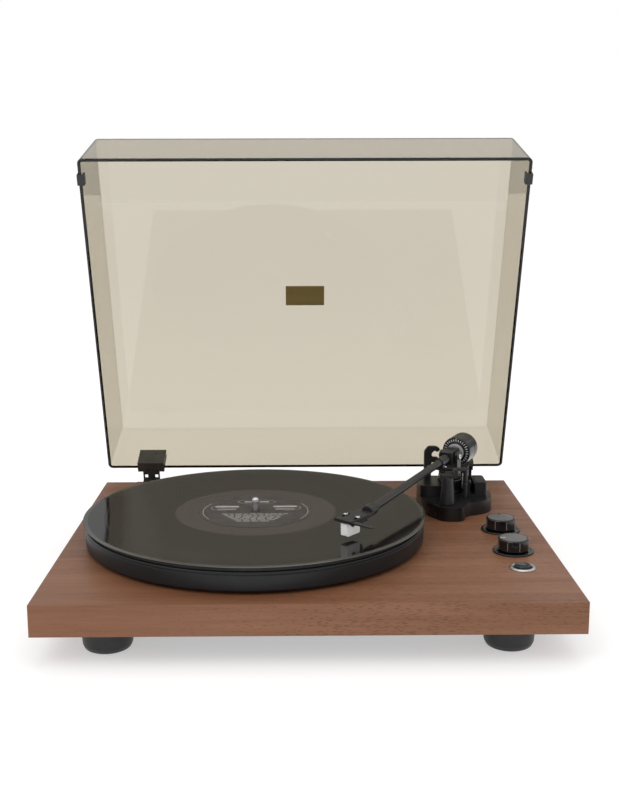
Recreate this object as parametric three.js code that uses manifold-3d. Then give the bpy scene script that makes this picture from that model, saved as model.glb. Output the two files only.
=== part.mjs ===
// A belt-driven record player with its dust cover open.
// Millimetres, +Z up, X to the right, +Y towards the hinges, feet on Z = 0.
// The origin is under the middle of the bounding box of the player with its cover open.
import * as THREE from 'three';
import { mergeVertices } from 'three/addons/utils/BufferGeometryUtils.js';
import Module from 'manifold-3d';

const wasm = await Module();
wasm.setup();

// ---------------------------------------------------------------- driving dimensions
const GAP = 0.3; // clearance between a piece and the opening it sits in
const SEAT = 0.1; // clearance between two flat faces that rest on each other

const PLINTH = { width: 420, depth: 356, height: 25.2, deck: 9, wall: 16, footMargin: 6 };
const BOTTOM_COVER = { thickness: 2, recess: 0.4 };
const FOOT = { radius: 20, height: 24, insetX: 52.3, insetY: 39.5, round: 5 };

const SPINDLE = { x: -45.7, y: 166.3, radius: 3.55, shaftRadius: 3, reach: 12.5 };
const COLLAR = { radius: 7, bottom: 5, height: 2.9 };
const BEARING = { radius: 11, flangeRadius: 16, flangeHeight: 2, floor: 2.2, floorGap: 2.6 };
const PLATTER = { radius: 148.5, clearance: 2.5, height: 16.3, disc: 5, skirt: 8.5, edge: 0.8 };
const BELT_RING = { fromRim: 66.5, wall: 4, bottom: 4.5 };
const MAT = { inset: 1.5, thickness: 2.8 };
const RECORD = { radius: 150.5, thickness: 1.8, edge: 0.5 };

const MOTOR = { fromRim: 36.5, angleDeg: 215, radius: 17, floorGap: 5.4, bossRadius: 5, bossHeight: 1.4 };
const PULLEY = { radius: 6.5, flangeRadius: 7.5, shaftRadius: 1, bottom: 4, height: 9 };
const BELT = { bottom: 6, height: 5, thickness: 0.7, sag: 0.002 };

const KNOB = { fromRight: 34.7, radius: 13.2, top: 12.2, bottom: 1.9, edge: 0.6, stemRadius: 2.5 };
const KNOB_ROWS = { speed: 121, mode: 181.5 }; // distance of each knob from the front edge
const KNOB_RING = { radius: 17.5, height: 1.5, bevel: 0.6 };
const SWITCH = { radius: 9, floorGap: 3.6 }; // the gap is to the bottom cover
const BUTTON = { fromRight: 35, y: 78, radius: 6.9, top: 3, skirt: 6, stemRadius: 2, travel: 1 };
const BEZEL = { radius: 10.9, height: 1.5, bevel: 0.5 };

const BOARD = { thickness: 1.6, lift: 8.6 }; // the boards stand off the bottom cover
const CONTROL_BOARD = { width: 66, depth: 39, fromPocket: 3 };
const PHONO_BOARD = { width: 84, depth: 37, fromPocket: 8 };
const TERMINALS = { fromLeft: 86, width: 88, thickness: 2, setback: 1 };
const JACK = { radius: 4.4, length: 15, bore: 1.7, boreDepth: 8, out: 8 };
const GROUND_POST = { radius: 2, nutRadius: 4, out: 7, length: 13 };
const DC_INLET = { radius: 5.2, bore: 2.8, boreDepth: 9, out: 1.5, length: 12 };
const TERMINAL_ROW = { left: 10, right: 26, ground: 44, power: 74 }; // from the left end of the plate

const PIVOT = { right: 186, behind: 103, height: 48 }; // tonearm pivot from the spindle and the deck
const ARM = { yawDeg: 28.4, dipDeg: 2, tubeRadius: 3.5, tubeWall: 0.8, reach: 190 };
const BLOCK = { halfWidth: 6, front: 12, back: 9, halfHeight: 6, tubeSocket: 5, stubSocket: 5 };
const YOKE = { inside: 6.5, wall: 3, depth: 5, floorRadius: 11, floorBottom: 26.3, floorHeight: 4, top: 5 };
const YOKE_STEM = { radius: 4.5, bottom: 6 };
const PIVOT_SCREW = { radius: 2, headRadius: 2.8, headHeight: 1.2, bite: 2.5 };
const STUB = { radius: 3, length: 34 };
const BUSH = { radius: 5.5, front: 16.6, length: 23 };
const WEIGHT = { radius: 14.4, front: 16, length: 24, rim: 1.2 };
const DIAL = { radius: 8.6, hub: 12.4, length: 3.2 };

const SHELL = { offsetDeg: 14, halfWidth: 9, front: 33, back: 3, thickness: 2.2 };
const SHELL_COLLAR = { radius: 5.2, length: 10 };
const LIFT_TAB = { width: 5, length: 21, thickness: 1.2 };
const CARTRIDGE = { halfWidth: 8, back: 9, front: 29, height: 5.4 };
const STYLUS = { halfWidth: 3.4, back: 15, front: 31, height: 6.6, tip: 1.2, notch: 1 };
const CARTRIDGE_SCREW = { spacing: 12.7, y: -21, radius: 1.1, headRadius: 2.1, headHeight: 1.5, depth: 4 };

const BASE = { left: 31, right: 38, front: 63, back: 26, lobe: 10, lobeShift: 4, low: 13, tower: 24 };
const TOWER = { width: 27, front: 24, back: 16 };
const PILLAR = { radius: 12, top: 26 };
const REST = { distance: 48, parkDeg: 10, post: 7, wall: 4, depth: 9, lip: 8, slack: 1.3 };
const HOOK = { left: 24, width: 16, y: 12, thickness: 4, top: 55, bite: 7, stalk: 7 };
const LIFT_BLOCK = { x0: 13.2, x1: 33, y0: -24, y1: 6, top: 27 };
const LIFT = { radius: 30, halfWidth: 3, thickness: 2, startDeg: -22, endDeg: 53, rod: 2.4, rodBottom: 6 };
const LEVER = { x: 19, width: 3.4, y: -4, z: 21, hub: 4.5, length: 21, slot: 4.4 };

const COVER = {
  sideInset: 0, frontInset: 10, backInset: 8, height: 76, wall: 3, corner: 5, draftDeg: 2.5, rimLift: 2,
};
const HINGE = { behind: 9.3, drop: 7.6, openDeg: 71.2, fromSide: 45.3, width: 28, pin: 2, knuckle: 5 };
const CLIP = { jaw: 3, depth: 25, plate: 3, window: 3.5, windowX: 5.4 };
const BRACKET = { thickness: 3, height: 22, ear: 5 };
const BUMPER = { height: 10.5, depth: 6, wall: 2, fromFront: 20 };
const NAME_PLATE = { width: 40.5, height: 22, thickness: 0.5, fromRim: 166.4 };

const deckZ = FOOT.height + PLINTH.height;
const rad = THREE.MathUtils.degToRad;
const motorDistance = PLATTER.radius - MOTOR.fromRim;
const beltRadius = PLATTER.radius - BELT_RING.fromRim;
const matRadius = PLATTER.radius - MAT.inset;
const pivotX = SPINDLE.x + PIVOT.right;
const pivotY = SPINDLE.y + PIVOT.behind;
const knobX = PLINTH.width / 2 - KNOB.fromRight;
const buttonX = PLINTH.width / 2 - BUTTON.fromRight;
const coverWidth = PLINTH.width - 2 * COVER.sideInset;
const coverLength = PLINTH.depth - COVER.frontInset - COVER.backInset;
const terminalsLeft = -PLINTH.width / 2 + TERMINALS.fromLeft;
const terminalsRight = terminalsLeft + TERMINALS.width;

// ---------------------------------------------------------------- materials
const finish = (color, roughness, metalness = 0) =>
  new THREE.MeshStandardMaterial({ color, roughness, metalness });
const walnut = finish(0x96684f, 0.45);
const blackPlastic = finish(0x1c1d1e, 0.45);
const glossBlack = finish(0x101011, 0.12);
const rubber = finish(0x1b1c1e, 0.85);
const vinyl = finish(0x0d0d0e, 0.18);
const smoked = finish(0x8d8474, 0.05);
smoked.transparent = true;
smoked.opacity = 0.35;
const steel = finish(0xb9babd, 0.25, 1);
const brass = finish(0xb08d4c, 0.3, 1);
const platterBlack = finish(0x202224, 0.4, 0.3);
const carbon = finish(0x2d2d2f, 0.35);
const ivory = finish(0xe2ddd6, 0.4);
const boardGreen = finish(0x1f5a36, 0.6);
const plateBronze = finish(0x6b5f35, 0.4, 0.6);
const sheetSteel = finish(0x55585c, 0.5, 0.7);

// ---------------------------------------------------------------- solids
// Shared vertices, no collapsed triangles, faces pointing out.
function closed(geometry) {
  const bare = geometry.clone();
  bare.deleteAttribute('normal');
  bare.deleteAttribute('uv');
  const merged = mergeVertices(bare, 1e-4);
  const index = merged.index.array;
  const point = merged.attributes.position;
  const kept = [];
  let volume = 0;
  const a = new THREE.Vector3();
  const b = new THREE.Vector3();
  const c = new THREE.Vector3();
  for (let i = 0; i < index.length; i += 3) {
    const [p, q, r] = [index[i], index[i + 1], index[i + 2]];
    if (p === q || q === r || r === p) continue;
    kept.push(p, q, r);
    volume += a.fromBufferAttribute(point, p).dot(
      b.fromBufferAttribute(point, q).cross(c.fromBufferAttribute(point, r)));
  }
  if (volume < 0) kept.reverse();
  merged.setIndex(kept);
  return merged;
}

function toSolid(geometry) {
  const merged = closed(geometry);
  return new wasm.Manifold(new wasm.Mesh({
    numProp: 3,
    vertProperties: new Float32Array(merged.attributes.position.array),
    triVerts: new Uint32Array(merged.index.array),
  }));
}

function toGeometry(solid) {
  const mesh = solid.getMesh();
  const geometry = new THREE.BufferGeometry();
  geometry.setAttribute('position', new THREE.BufferAttribute(new Float32Array(mesh.vertProperties), 3));
  geometry.setIndex(Array.from(mesh.triVerts));
  return geometry;
}

function join(first, ...others) {
  return toGeometry(others.reduce((sum, other) => sum.add(toSolid(other)), toSolid(first)));
}

function cut(base, ...tools) {
  return toGeometry(tools.reduce((rest, tool) => rest.subtract(toSolid(tool)), toSolid(base)));
}

// ---------------------------------------------------------------- shapes
function block(x0, x1, y0, y1, z0, z1) {
  const geometry = new THREE.BoxGeometry(x1 - x0, y1 - y0, z1 - z0);
  return geometry.translate((x0 + x1) / 2, (y0 + y1) / 2, (z0 + z1) / 2);
}

// A profile of [radius, height] points turned round the Z axis.
function turned(profile, segments = 24) {
  const points = profile.map(([r, z]) => new THREE.Vector2(r, z));
  return closed(new THREE.LatheGeometry(points, segments).rotateX(Math.PI / 2));
}

function disc(radius, z0, z1, segments = 24, x = 0, y = 0) {
  return turned([[0, z0], [radius, z0], [radius, z1], [0, z1]], segments).translate(x, y, 0);
}

function ring(inner, outer, z0, z1, segments = 24) {
  return turned([[inner, z0], [outer, z0], [outer, z1], [inner, z1], [inner, z0]], segments);
}

// Turns a solid made round Z so that it lies along Y or X.
const alongY = (geometry) => geometry.rotateX(-Math.PI / 2);
const alongX = (geometry) => geometry.rotateY(Math.PI / 2);

function prism(shape, z0, z1, curveSegments = 6) {
  const geometry = new THREE.ExtrudeGeometry(shape, { depth: z1 - z0, bevelEnabled: false, curveSegments });
  return geometry.translate(0, 0, z0);
}

function polygon(points) {
  return new THREE.Shape(points.map(([x, y]) => new THREE.Vector2(x, y)));
}

function roundedRectangle(x0, x1, y0, y1, radius) {
  const shape = new THREE.Shape();
  shape.moveTo(x0 + radius, y0);
  shape.lineTo(x1 - radius, y0);
  shape.absarc(x1 - radius, y0 + radius, radius, -Math.PI / 2, 0);
  shape.lineTo(x1, y1 - radius);
  shape.absarc(x1 - radius, y1 - radius, radius, 0, Math.PI / 2);
  shape.lineTo(x0 + radius, y1);
  shape.absarc(x0 + radius, y1 - radius, radius, Math.PI / 2, Math.PI);
  shape.lineTo(x0, y0 + radius);
  shape.absarc(x0 + radius, y0 + radius, radius, Math.PI, Math.PI * 1.5);
  return shape;
}

function add(parent, name, geometry, material, x = 0, y = 0, z = 0) {
  const mesh = new THREE.Mesh(closed(geometry), material);
  mesh.name = name;
  mesh.position.set(x, y, z);
  parent.add(mesh);
  return mesh;
}

function group(parent, x = 0, y = 0, z = 0) {
  const child = new THREE.Group();
  child.position.set(x, y, z);
  parent.add(child);
  return child;
}

// ---------------------------------------------------------------- plinth and feet
const pocketTop = deckZ - PLINTH.deck;
const footFront = FOOT.insetY + FOOT.radius + PLINTH.footMargin;
const footSide = PLINTH.width / 2 - FOOT.insetX - FOOT.radius - PLINTH.footMargin;

// The pocket under the deck: a cross that leaves solid corners over the feet.
function pocketShape(inset) {
  const wide = PLINTH.width / 2 - PLINTH.wall - inset;
  const narrow = footSide - inset;
  const front = PLINTH.wall + inset;
  const back = PLINTH.depth - PLINTH.wall - inset;
  const low = footFront + inset;
  const high = PLINTH.depth - footFront - inset;
  return polygon([
    [-narrow, front], [narrow, front], [narrow, low], [wide, low], [wide, high], [narrow, high],
    [narrow, back], [-narrow, back], [-narrow, high], [-wide, high], [-wide, low], [-narrow, low],
  ]);
}

const motorX = SPINDLE.x + motorDistance * Math.cos(rad(MOTOR.angleDeg));
const motorY = SPINDLE.y + motorDistance * Math.sin(rad(MOTOR.angleDeg));
const stemHole = KNOB.stemRadius + 1.2;
const buttonHole = BUTTON.radius + GAP * 2;
const cableHole = YOKE_STEM.radius + 2;

function makePlinth() {
  const board = block(-PLINTH.width / 2, PLINTH.width / 2, 0, PLINTH.depth, FOOT.height, deckZ);
  const below = FOOT.height - 1;
  const above = deckZ + 1;
  const slot = block(
    terminalsLeft, terminalsRight, PLINTH.depth - PLINTH.wall - 1, PLINTH.depth + 1, below, pocketTop);
  return cut(
    board,
    prism(pocketShape(0), below, pocketTop),
    slot,
    disc(BEARING.radius + GAP, below, above, 20, SPINDLE.x, SPINDLE.y),
    disc(PULLEY.flangeRadius + 1, below, above, 16, motorX, motorY),
    disc(cableHole, below, above, 16, pivotX, pivotY),
    disc(stemHole, below, above, 12, knobX, KNOB_ROWS.speed),
    disc(stemHole, below, above, 12, knobX, KNOB_ROWS.mode),
    disc(buttonHole, below, above, 20, buttonX, BUTTON.y),
  );
}

const player = new THREE.Group();
const assembly = group(player);

add(assembly, 'plinth', makePlinth(), walnut);

const coverBottom = FOOT.height + BOTTOM_COVER.recess;
const coverTop = coverBottom + BOTTOM_COVER.thickness;
add(assembly, 'bottom_cover', prism(pocketShape(GAP), coverBottom, coverTop), sheetSteel);

function makeFoot() {
  const { radius, height, round } = FOOT;
  const profile = [[0, 0], [radius - round, 0]];
  for (const turn of [30, 60, 90]) {
    profile.push([radius - round + round * Math.sin(rad(turn)), round - round * Math.cos(rad(turn))]);
  }
  profile.push([radius, height - SEAT], [0, height - SEAT]);
  return turned(profile, 20);
}

const footX = PLINTH.width / 2 - FOOT.insetX;
const footPlaces = {
  foot_front_left: [-footX, FOOT.insetY],
  foot_front_right: [footX, FOOT.insetY],
  foot_rear_left: [-footX, PLINTH.depth - FOOT.insetY],
  foot_rear_right: [footX, PLINTH.depth - FOOT.insetY],
};
for (const [name, [x, y]] of Object.entries(footPlaces)) {
  add(assembly, name, makeFoot(), rubber, x, y);
}

// ---------------------------------------------------------------- platter and drive
const turntable = group(assembly, SPINDLE.x, SPINDLE.y, deckZ);
const platterTop = PLATTER.clearance + PLATTER.height;
const platterUnder = platterTop - PLATTER.disc;
const matTop = platterTop + SEAT + MAT.thickness;
const recordTop = matTop + SEAT + RECORD.thickness;
const bore = SPINDLE.radius + GAP + 0.05;
const collarTop = COLLAR.bottom + COLLAR.height;
const shaftEnd = coverTop + BEARING.floorGap + BEARING.floor + GAP - deckZ;

function makePlatter() {
  const { radius, clearance, skirt, edge } = PLATTER;
  const ringInner = beltRadius - BELT_RING.wall;
  const hubBottom = collarTop + SEAT;
  const hubRadius = COLLAR.radius + 5;
  return turned([
    [bore, hubBottom], [hubRadius, hubBottom], [hubRadius, platterUnder], [ringInner, platterUnder],
    [ringInner, BELT_RING.bottom], [beltRadius, BELT_RING.bottom], [beltRadius, platterUnder],
    [radius - skirt, platterUnder], [radius - skirt, clearance], [radius - edge, clearance],
    [radius, clearance + edge], [radius, platterTop - edge], [radius - edge, platterTop],
    [bore, platterTop], [bore, hubBottom],
  ], 48);
}

function makeRecord() {
  const { radius, thickness, edge } = RECORD;
  const z = matTop + SEAT;
  return turned([
    [bore, z], [radius - edge, z], [radius, z + thickness / 2], [radius - edge, z + thickness],
    [bore, z + thickness], [bore, z],
  ], 48);
}

function makeSpindle() {
  const { radius, shaftRadius, reach } = SPINDLE;
  const top = recordTop + reach;
  return turned([
    [0, shaftEnd], [shaftRadius, shaftEnd], [shaftRadius, COLLAR.bottom], [COLLAR.radius, COLLAR.bottom],
    [COLLAR.radius, collarTop], [radius, collarTop], [radius, top - 2], [radius * 0.7, top - 0.6],
    [0, top],
  ], 16);
}

function makeBearingHousing() {
  const shaftBore = SPINDLE.shaftRadius + GAP + 0.05;
  const floor = shaftEnd - GAP;
  return turned([
    [0, floor - BEARING.floor], [BEARING.radius, floor - BEARING.floor], [BEARING.radius, SEAT],
    [BEARING.flangeRadius, SEAT], [BEARING.flangeRadius, SEAT + BEARING.flangeHeight],
    [shaftBore, SEAT + BEARING.flangeHeight], [shaftBore, floor], [0, floor],
  ], 20);
}

add(turntable, 'platter', makePlatter(), platterBlack);
add(turntable, 'platter_mat', ring(bore, matRadius, platterTop + SEAT, matTop, 48), rubber);
add(turntable, 'record', makeRecord(), vinyl);
add(turntable, 'spindle', makeSpindle(), steel);
add(turntable, 'bearing_housing', makeBearingHousing(), brass);

// Outline of a belt round the belt ring and the pulley, at a distance from both.
function beltOutline(path, offset) {
  const big = beltRadius + offset;
  const small = PULLEY.radius + offset;
  const lean = Math.acos((big - small) / motorDistance);
  path.absarc(0, 0, big, lean, 2 * Math.PI - lean);
  path.absarc(motorDistance, 0, small, -lean, lean);
  path.closePath();
  return path;
}

const beltGap = GAP + beltRadius * BELT.sag; // room for the flats of the ring
const beltShape = beltOutline(new THREE.Shape(), beltGap + BELT.thickness);
beltShape.holes.push(beltOutline(new THREE.Path(), beltGap));
const belt = prism(beltShape, BELT.bottom, BELT.bottom + BELT.height, 16);
add(turntable, 'drive_belt', belt.rotateZ(rad(MOTOR.angleDeg)), rubber);

const motorPlace = group(assembly, motorX, motorY, deckZ);
const motorTop = -PLINTH.deck - SEAT;
const motorBottom = coverTop + MOTOR.floorGap - deckZ;
const bossTop = motorTop + MOTOR.bossHeight;
const motorBore = PULLEY.shaftRadius + GAP + 0.05;
add(motorPlace, 'motor', turned([
  [0, motorBottom], [MOTOR.radius, motorBottom], [MOTOR.radius, motorTop],
  [MOTOR.bossRadius, motorTop], [MOTOR.bossRadius, bossTop], [motorBore, bossTop],
  [motorBore, motorTop - 2], [0, motorTop - 2],
], 20), steel);
const pulleyTop = PULLEY.bottom + PULLEY.height;
add(motorPlace, 'motor_pulley', turned([
  [0, motorTop - 1.5], [PULLEY.shaftRadius, motorTop - 1.5], [PULLEY.shaftRadius, PULLEY.bottom],
  [PULLEY.flangeRadius, PULLEY.bottom], [PULLEY.flangeRadius, PULLEY.bottom + 1],
  [PULLEY.radius, PULLEY.bottom + 1.5], [PULLEY.radius, pulleyTop - 1.5],
  [PULLEY.flangeRadius, pulleyTop - 1], [PULLEY.flangeRadius, pulleyTop], [0, pulleyTop],
], 16), brass);

// ---------------------------------------------------------------- controls
const controls = group(assembly, 0, 0, deckZ);
const stemBore = KNOB.stemRadius + GAP + 0.05;
const switchTop = -PLINTH.deck - SEAT;
const switchBottom = coverTop + SWITCH.floorGap - deckZ;

function makeKnob() {
  const { radius, top, bottom, edge, stemRadius } = KNOB;
  const body = turned([
    [0, switchBottom + 3], [stemRadius, switchBottom + 3], [stemRadius, bottom], [radius, bottom],
    [radius, top - edge], [radius - edge, top], [0, top],
  ], 24);
  const pointer = block(-0.8, 0.8, -radius - 1, -radius * 0.55, top - 0.6, top + 1);
  return cut(body, pointer);
}

const knobRing = () => turned([
  [stemHole, SEAT], [KNOB_RING.radius, SEAT], [KNOB_RING.radius, KNOB_RING.height - KNOB_RING.bevel],
  [KNOB_RING.radius - KNOB_RING.bevel, KNOB_RING.height], [stemHole, KNOB_RING.height], [stemHole, SEAT],
], 24);

const switchBody = () => turned([
  [0, switchBottom], [SWITCH.radius, switchBottom], [SWITCH.radius, switchTop], [stemBore, switchTop],
  [stemBore, switchBottom + 2.5], [0, switchBottom + 2.5],
], 16);

for (const [use, y] of Object.entries(KNOB_ROWS)) {
  add(controls, `${use}_knob`, makeKnob(), glossBlack, knobX, y);
  add(controls, `${use}_knob_ring`, knobRing(), blackPlastic, knobX, y);
  add(controls, `${use}_switch`, switchBody(), blackPlastic, knobX, y);
}

const stemEnd = coverTop + BOARD.lift + BOARD.thickness + BUTTON.travel + GAP * 2 - deckZ;
add(controls, 'start_button', turned([
  [0, stemEnd], [BUTTON.stemRadius, stemEnd], [BUTTON.stemRadius, -BUTTON.skirt],
  [BUTTON.radius, -BUTTON.skirt], [BUTTON.radius, BUTTON.top - 0.5], [BUTTON.radius - 0.5, BUTTON.top],
  [0, BUTTON.top],
], 20), glossBlack, buttonX, BUTTON.y);
const bezelBore = BUTTON.radius + GAP + 0.1;
add(controls, 'button_bezel', turned([
  [bezelBore, SEAT], [BEZEL.radius, SEAT], [BEZEL.radius, BEZEL.height - BEZEL.bevel],
  [BEZEL.radius - BEZEL.bevel, BEZEL.height], [bezelBore, BEZEL.height], [bezelBore, SEAT],
], 24), steel, buttonX, BUTTON.y);

// ---------------------------------------------------------------- electronics and sockets
// The control board lies under the button, and the phono board in front of the sockets.
const boardZ = coverTop + BOARD.lift;
const boardRight = PLINTH.width / 2 - PLINTH.wall - CONTROL_BOARD.fromPocket;
const phonoBack = PLINTH.depth - PLINTH.wall - PHONO_BOARD.fromPocket;
const phonoMiddle = (terminalsLeft + terminalsRight) / 2;
add(assembly, 'control_board', block(boardRight - CONTROL_BOARD.width, boardRight,
  footFront + 2, footFront + 2 + CONTROL_BOARD.depth, boardZ, boardZ + BOARD.thickness), boardGreen);
add(assembly, 'phono_board', block(phonoMiddle - PHONO_BOARD.width / 2, phonoMiddle + PHONO_BOARD.width / 2,
  phonoBack - PHONO_BOARD.depth, phonoBack, boardZ, boardZ + BOARD.thickness), boardGreen);

const socketZ = (coverTop + pocketTop) / 2;
const plateBack = PLINTH.depth - TERMINALS.setback;
const rear = group(assembly, terminalsLeft, plateBack, socketZ);
const socketHole = (radius, x) =>
  alongY(disc(radius + GAP, -TERMINALS.thickness - 1, 1, 16)).translate(x, 0, 0);
add(rear, 'terminal_plate', cut(
  block(GAP, TERMINALS.width - GAP, -TERMINALS.thickness, 0,
    coverTop + GAP - socketZ, pocketTop - GAP - socketZ),
  socketHole(JACK.radius, TERMINAL_ROW.left),
  socketHole(JACK.radius, TERMINAL_ROW.right),
  socketHole(GROUND_POST.radius, TERMINAL_ROW.ground),
  socketHole(DC_INLET.radius, TERMINAL_ROW.power)), blackPlastic);

function makeSocket(radius, out, length, hole, holeDepth) {
  return alongY(turned([
    [0, out - length], [radius, out - length], [radius, out], [hole, out], [hole, out - holeDepth],
    [0, out - holeDepth],
  ], 16));
}
for (const side of ['left', 'right']) {
  add(rear, `rca_jack_${side}`, makeSocket(JACK.radius, JACK.out, JACK.length, JACK.bore, JACK.boreDepth),
    brass, TERMINAL_ROW[side]);
}
add(rear, 'ground_post', alongY(turned([
  [0, GROUND_POST.out - GROUND_POST.length], [GROUND_POST.radius, GROUND_POST.out - GROUND_POST.length],
  [GROUND_POST.radius, SEAT], [GROUND_POST.nutRadius, SEAT], [GROUND_POST.nutRadius, GROUND_POST.out],
  [0, GROUND_POST.out],
], 12)), steel, TERMINAL_ROW.ground);
add(rear, 'dc_inlet', makeSocket(DC_INLET.radius, DC_INLET.out, DC_INLET.length, DC_INLET.bore,
  DC_INLET.boreDepth), blackPlastic, TERMINAL_ROW.power);

// ---------------------------------------------------------------- tonearm base (at the pivot, on the deck)
const armPlace = group(assembly, pivotX, pivotY, deckZ);
const yokeBore = YOKE_STEM.radius + GAP + 0.05;
const towerX = -BASE.left + TOWER.width / 2;
const liftRodX = -LIFT.radius * Math.sin(rad(LIFT.startDeg));
const liftRodY = -LIFT.radius * Math.cos(rad(LIFT.startDeg));
const restX = -REST.distance * Math.sin(rad(REST.parkDeg));
const restY = -REST.distance * Math.cos(rad(REST.parkDeg));

function baseOutline() {
  const { left, right, front, back, lobe } = BASE;
  const lobeX = restX + BASE.lobeShift;
  return polygon([
    [lobeX - lobe, -front], [lobeX + lobe, -front], [lobeX + lobe + 4, -front + 17],
    [right - 8, -front + 26], [right, -front + 38],
    [right, 4], [right - 12, back], [-left + 8, back], [-left, back - 10], [-left, -front + 30],
  ]);
}

function makeTonearmBase() {
  const tower = roundedRectangle(-BASE.left, -BASE.left + TOWER.width, -TOWER.front, TOWER.back, 7);
  return cut(
    join(
      prism(baseOutline(), SEAT, BASE.low),
      prism(tower, SEAT + 1, BASE.tower, 4),
      disc(PILLAR.radius, SEAT + 1, PILLAR.top, 20)),
    disc(yokeBore, YOKE_STEM.bottom - 1, PILLAR.top + 1, 16),
    disc(LIFT.rod + GAP, 1, BASE.low + 1, 12, liftRodX, liftRodY));
}
add(armPlace, 'tonearm_base', makeTonearmBase(), blackPlastic);

// Height of the tube's underside above the deck, at a distance in front of the pivot.
const tubeAxis = (distance) => PIVOT.height - distance * Math.tan(rad(ARM.dipDeg));
const tubeUnder = (distance) => tubeAxis(distance) - ARM.tubeRadius / Math.cos(rad(ARM.dipDeg));

// A saddle: a shelf under the parked tube, a stop on its outer side and a low ridge on the other.
function makeArmRest() {
  const shelf = tubeUnder(REST.distance) - REST.slack;
  const stopX = ARM.tubeRadius + REST.slack;
  const half = REST.depth / 2;
  return join(
    disc(REST.post, BASE.low + SEAT, shelf - 1, 12),
    block(-REST.lip, stopX + REST.wall, -half, half, shelf - 3, shelf),
    block(-REST.lip, -REST.lip + 2, -half, half, shelf - 1, shelf + REST.slack / 2),
    block(stopX, stopX + REST.wall, -half, half, shelf - 3, tubeAxis(REST.distance)));
}
add(armPlace, 'arm_rest', makeArmRest(), blackPlastic, restX, restY);

// A hook for the thread of an anti-skating weight, open towards the arm.
function makeHook() {
  const { width, top, bite, stalk } = HOOK;
  const foot = BASE.tower + SEAT;
  const shape = polygon([
    [0, foot], [stalk, foot], [stalk, top - 16], [width - 5, top - 16], [width - 1, top - 13],
    [width - 3, top - 11], [stalk + 1, top - 11], [stalk, top - 11 + bite / 2], [stalk + 3, top - 4],
    [width - 3, top - 6], [width, top - 3], [width - 4, top], [4, top], [0, top - 5],
  ]);
  return prism(shape, 0, HOOK.thickness).rotateX(Math.PI / 2);
}
add(armPlace, 'anti_skate_hook', makeHook(), blackPlastic, -HOOK.left, HOOK.y + HOOK.thickness / 2);

function makeLiftBlock() {
  const { x0, x1, y0, y1, top } = LIFT_BLOCK;
  const slotX = LEVER.x - LEVER.slot / 2;
  return cut(
    block(x0, x1, y0, y1, BASE.low + SEAT, top),
    block(slotX, slotX + LEVER.slot, y0 - 1, LEVER.y + LEVER.hub + 1, LEVER.z - LEVER.hub - 0.8, top + 1));
}
add(armPlace, 'lift_housing', makeLiftBlock(), blackPlastic);

// The lever stands up with the arm raised.
add(armPlace, 'cue_lever', join(
  alongX(disc(LEVER.hub, -LEVER.width / 2, LEVER.width / 2, 16)),
  block(-LEVER.width / 2, LEVER.width / 2, -1.4, 1.4, 0, LEVER.length)),
blackPlastic, LEVER.x, LEVER.y, LEVER.z);

// The platform is an arc round the pivot, so the tube rides on it at every angle.
function makeLiftPlatform() {
  const top = tubeUnder(LIFT.radius) - 0.5;
  const inner = LIFT.radius - LIFT.halfWidth;
  const outer = LIFT.radius + LIFT.halfWidth;
  const from = -Math.PI / 2 - rad(LIFT.endDeg);
  const to = -Math.PI / 2 - rad(LIFT.startDeg) + rad(4);
  const arc = new THREE.Shape();
  arc.absarc(0, 0, outer, from, to);
  arc.absarc(0, 0, inner, to, from, true);
  arc.closePath();
  return join(
    prism(arc, top - LIFT.thickness, top, 12),
    disc(LIFT.rod, LIFT.rodBottom, top - LIFT.thickness / 2, 12, liftRodX, liftRodY));
}
add(armPlace, 'lift_platform', makeLiftPlatform(), steel);

// ---------------------------------------------------------------- tonearm (along -Y from the pivot)
const swing = group(armPlace);
swing.rotation.z = -rad(ARM.yawDeg);

function makeYoke() {
  const outer = YOKE.inside + YOKE.wall;
  const floorTop = YOKE.floorBottom + YOKE.floorHeight;
  const wallTop = PIVOT.height + YOKE.top;
  const half = YOKE.depth;
  const screwHole = alongX(disc(PIVOT_SCREW.radius + GAP, -outer - 1, outer + 1, 12));
  return cut(
    join(
      disc(YOKE_STEM.radius, YOKE_STEM.bottom, floorTop - 1, 16),
      disc(YOKE.floorRadius, YOKE.floorBottom, floorTop, 20),
      block(-outer, -YOKE.inside, -half, half, floorTop - 1, wallTop),
      block(YOKE.inside, outer, -half, half, floorTop - 1, wallTop)),
    screwHole.translate(0, 0, PIVOT.height));
}
add(swing, 'arm_yoke', makeYoke(), blackPlastic);

const screwInner = BLOCK.halfWidth - PIVOT_SCREW.bite;
const screwOuter = YOKE.inside + YOKE.wall + SEAT;
for (const [side, sign] of [['left', -1], ['right', 1]]) {
  const screw = alongX(turned([
    [0, screwInner], [PIVOT_SCREW.radius, screwInner], [PIVOT_SCREW.radius, screwOuter],
    [PIVOT_SCREW.headRadius, screwOuter], [PIVOT_SCREW.headRadius, screwOuter + PIVOT_SCREW.headHeight],
    [0, screwOuter + PIVOT_SCREW.headHeight],
  ], 12));
  if (sign < 0) screw.rotateZ(Math.PI);
  add(swing, `pivot_screw_${side}`, screw, steel, 0, 0, PIVOT.height);
}

const tilt = group(swing, 0, 0, PIVOT.height);
tilt.rotation.x = rad(ARM.dipDeg);

function makeBearingBlock() {
  const { halfWidth, front, back, halfHeight, tubeSocket, stubSocket } = BLOCK;
  const pocket = alongX(disc(PIVOT_SCREW.radius + GAP, screwInner - GAP, halfWidth + 1, 12));
  return cut(
    block(-halfWidth, halfWidth, -front, back, -halfHeight, halfHeight),
    alongY(disc(ARM.tubeRadius + GAP, -front - 1, -front + tubeSocket, 16)),
    alongY(disc(STUB.radius + GAP, back - stubSocket, back + 1, 16)),
    pocket,
    pocket.clone().rotateZ(Math.PI));
}
add(tilt, 'bearing_block', makeBearingBlock(), blackPlastic);

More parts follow.
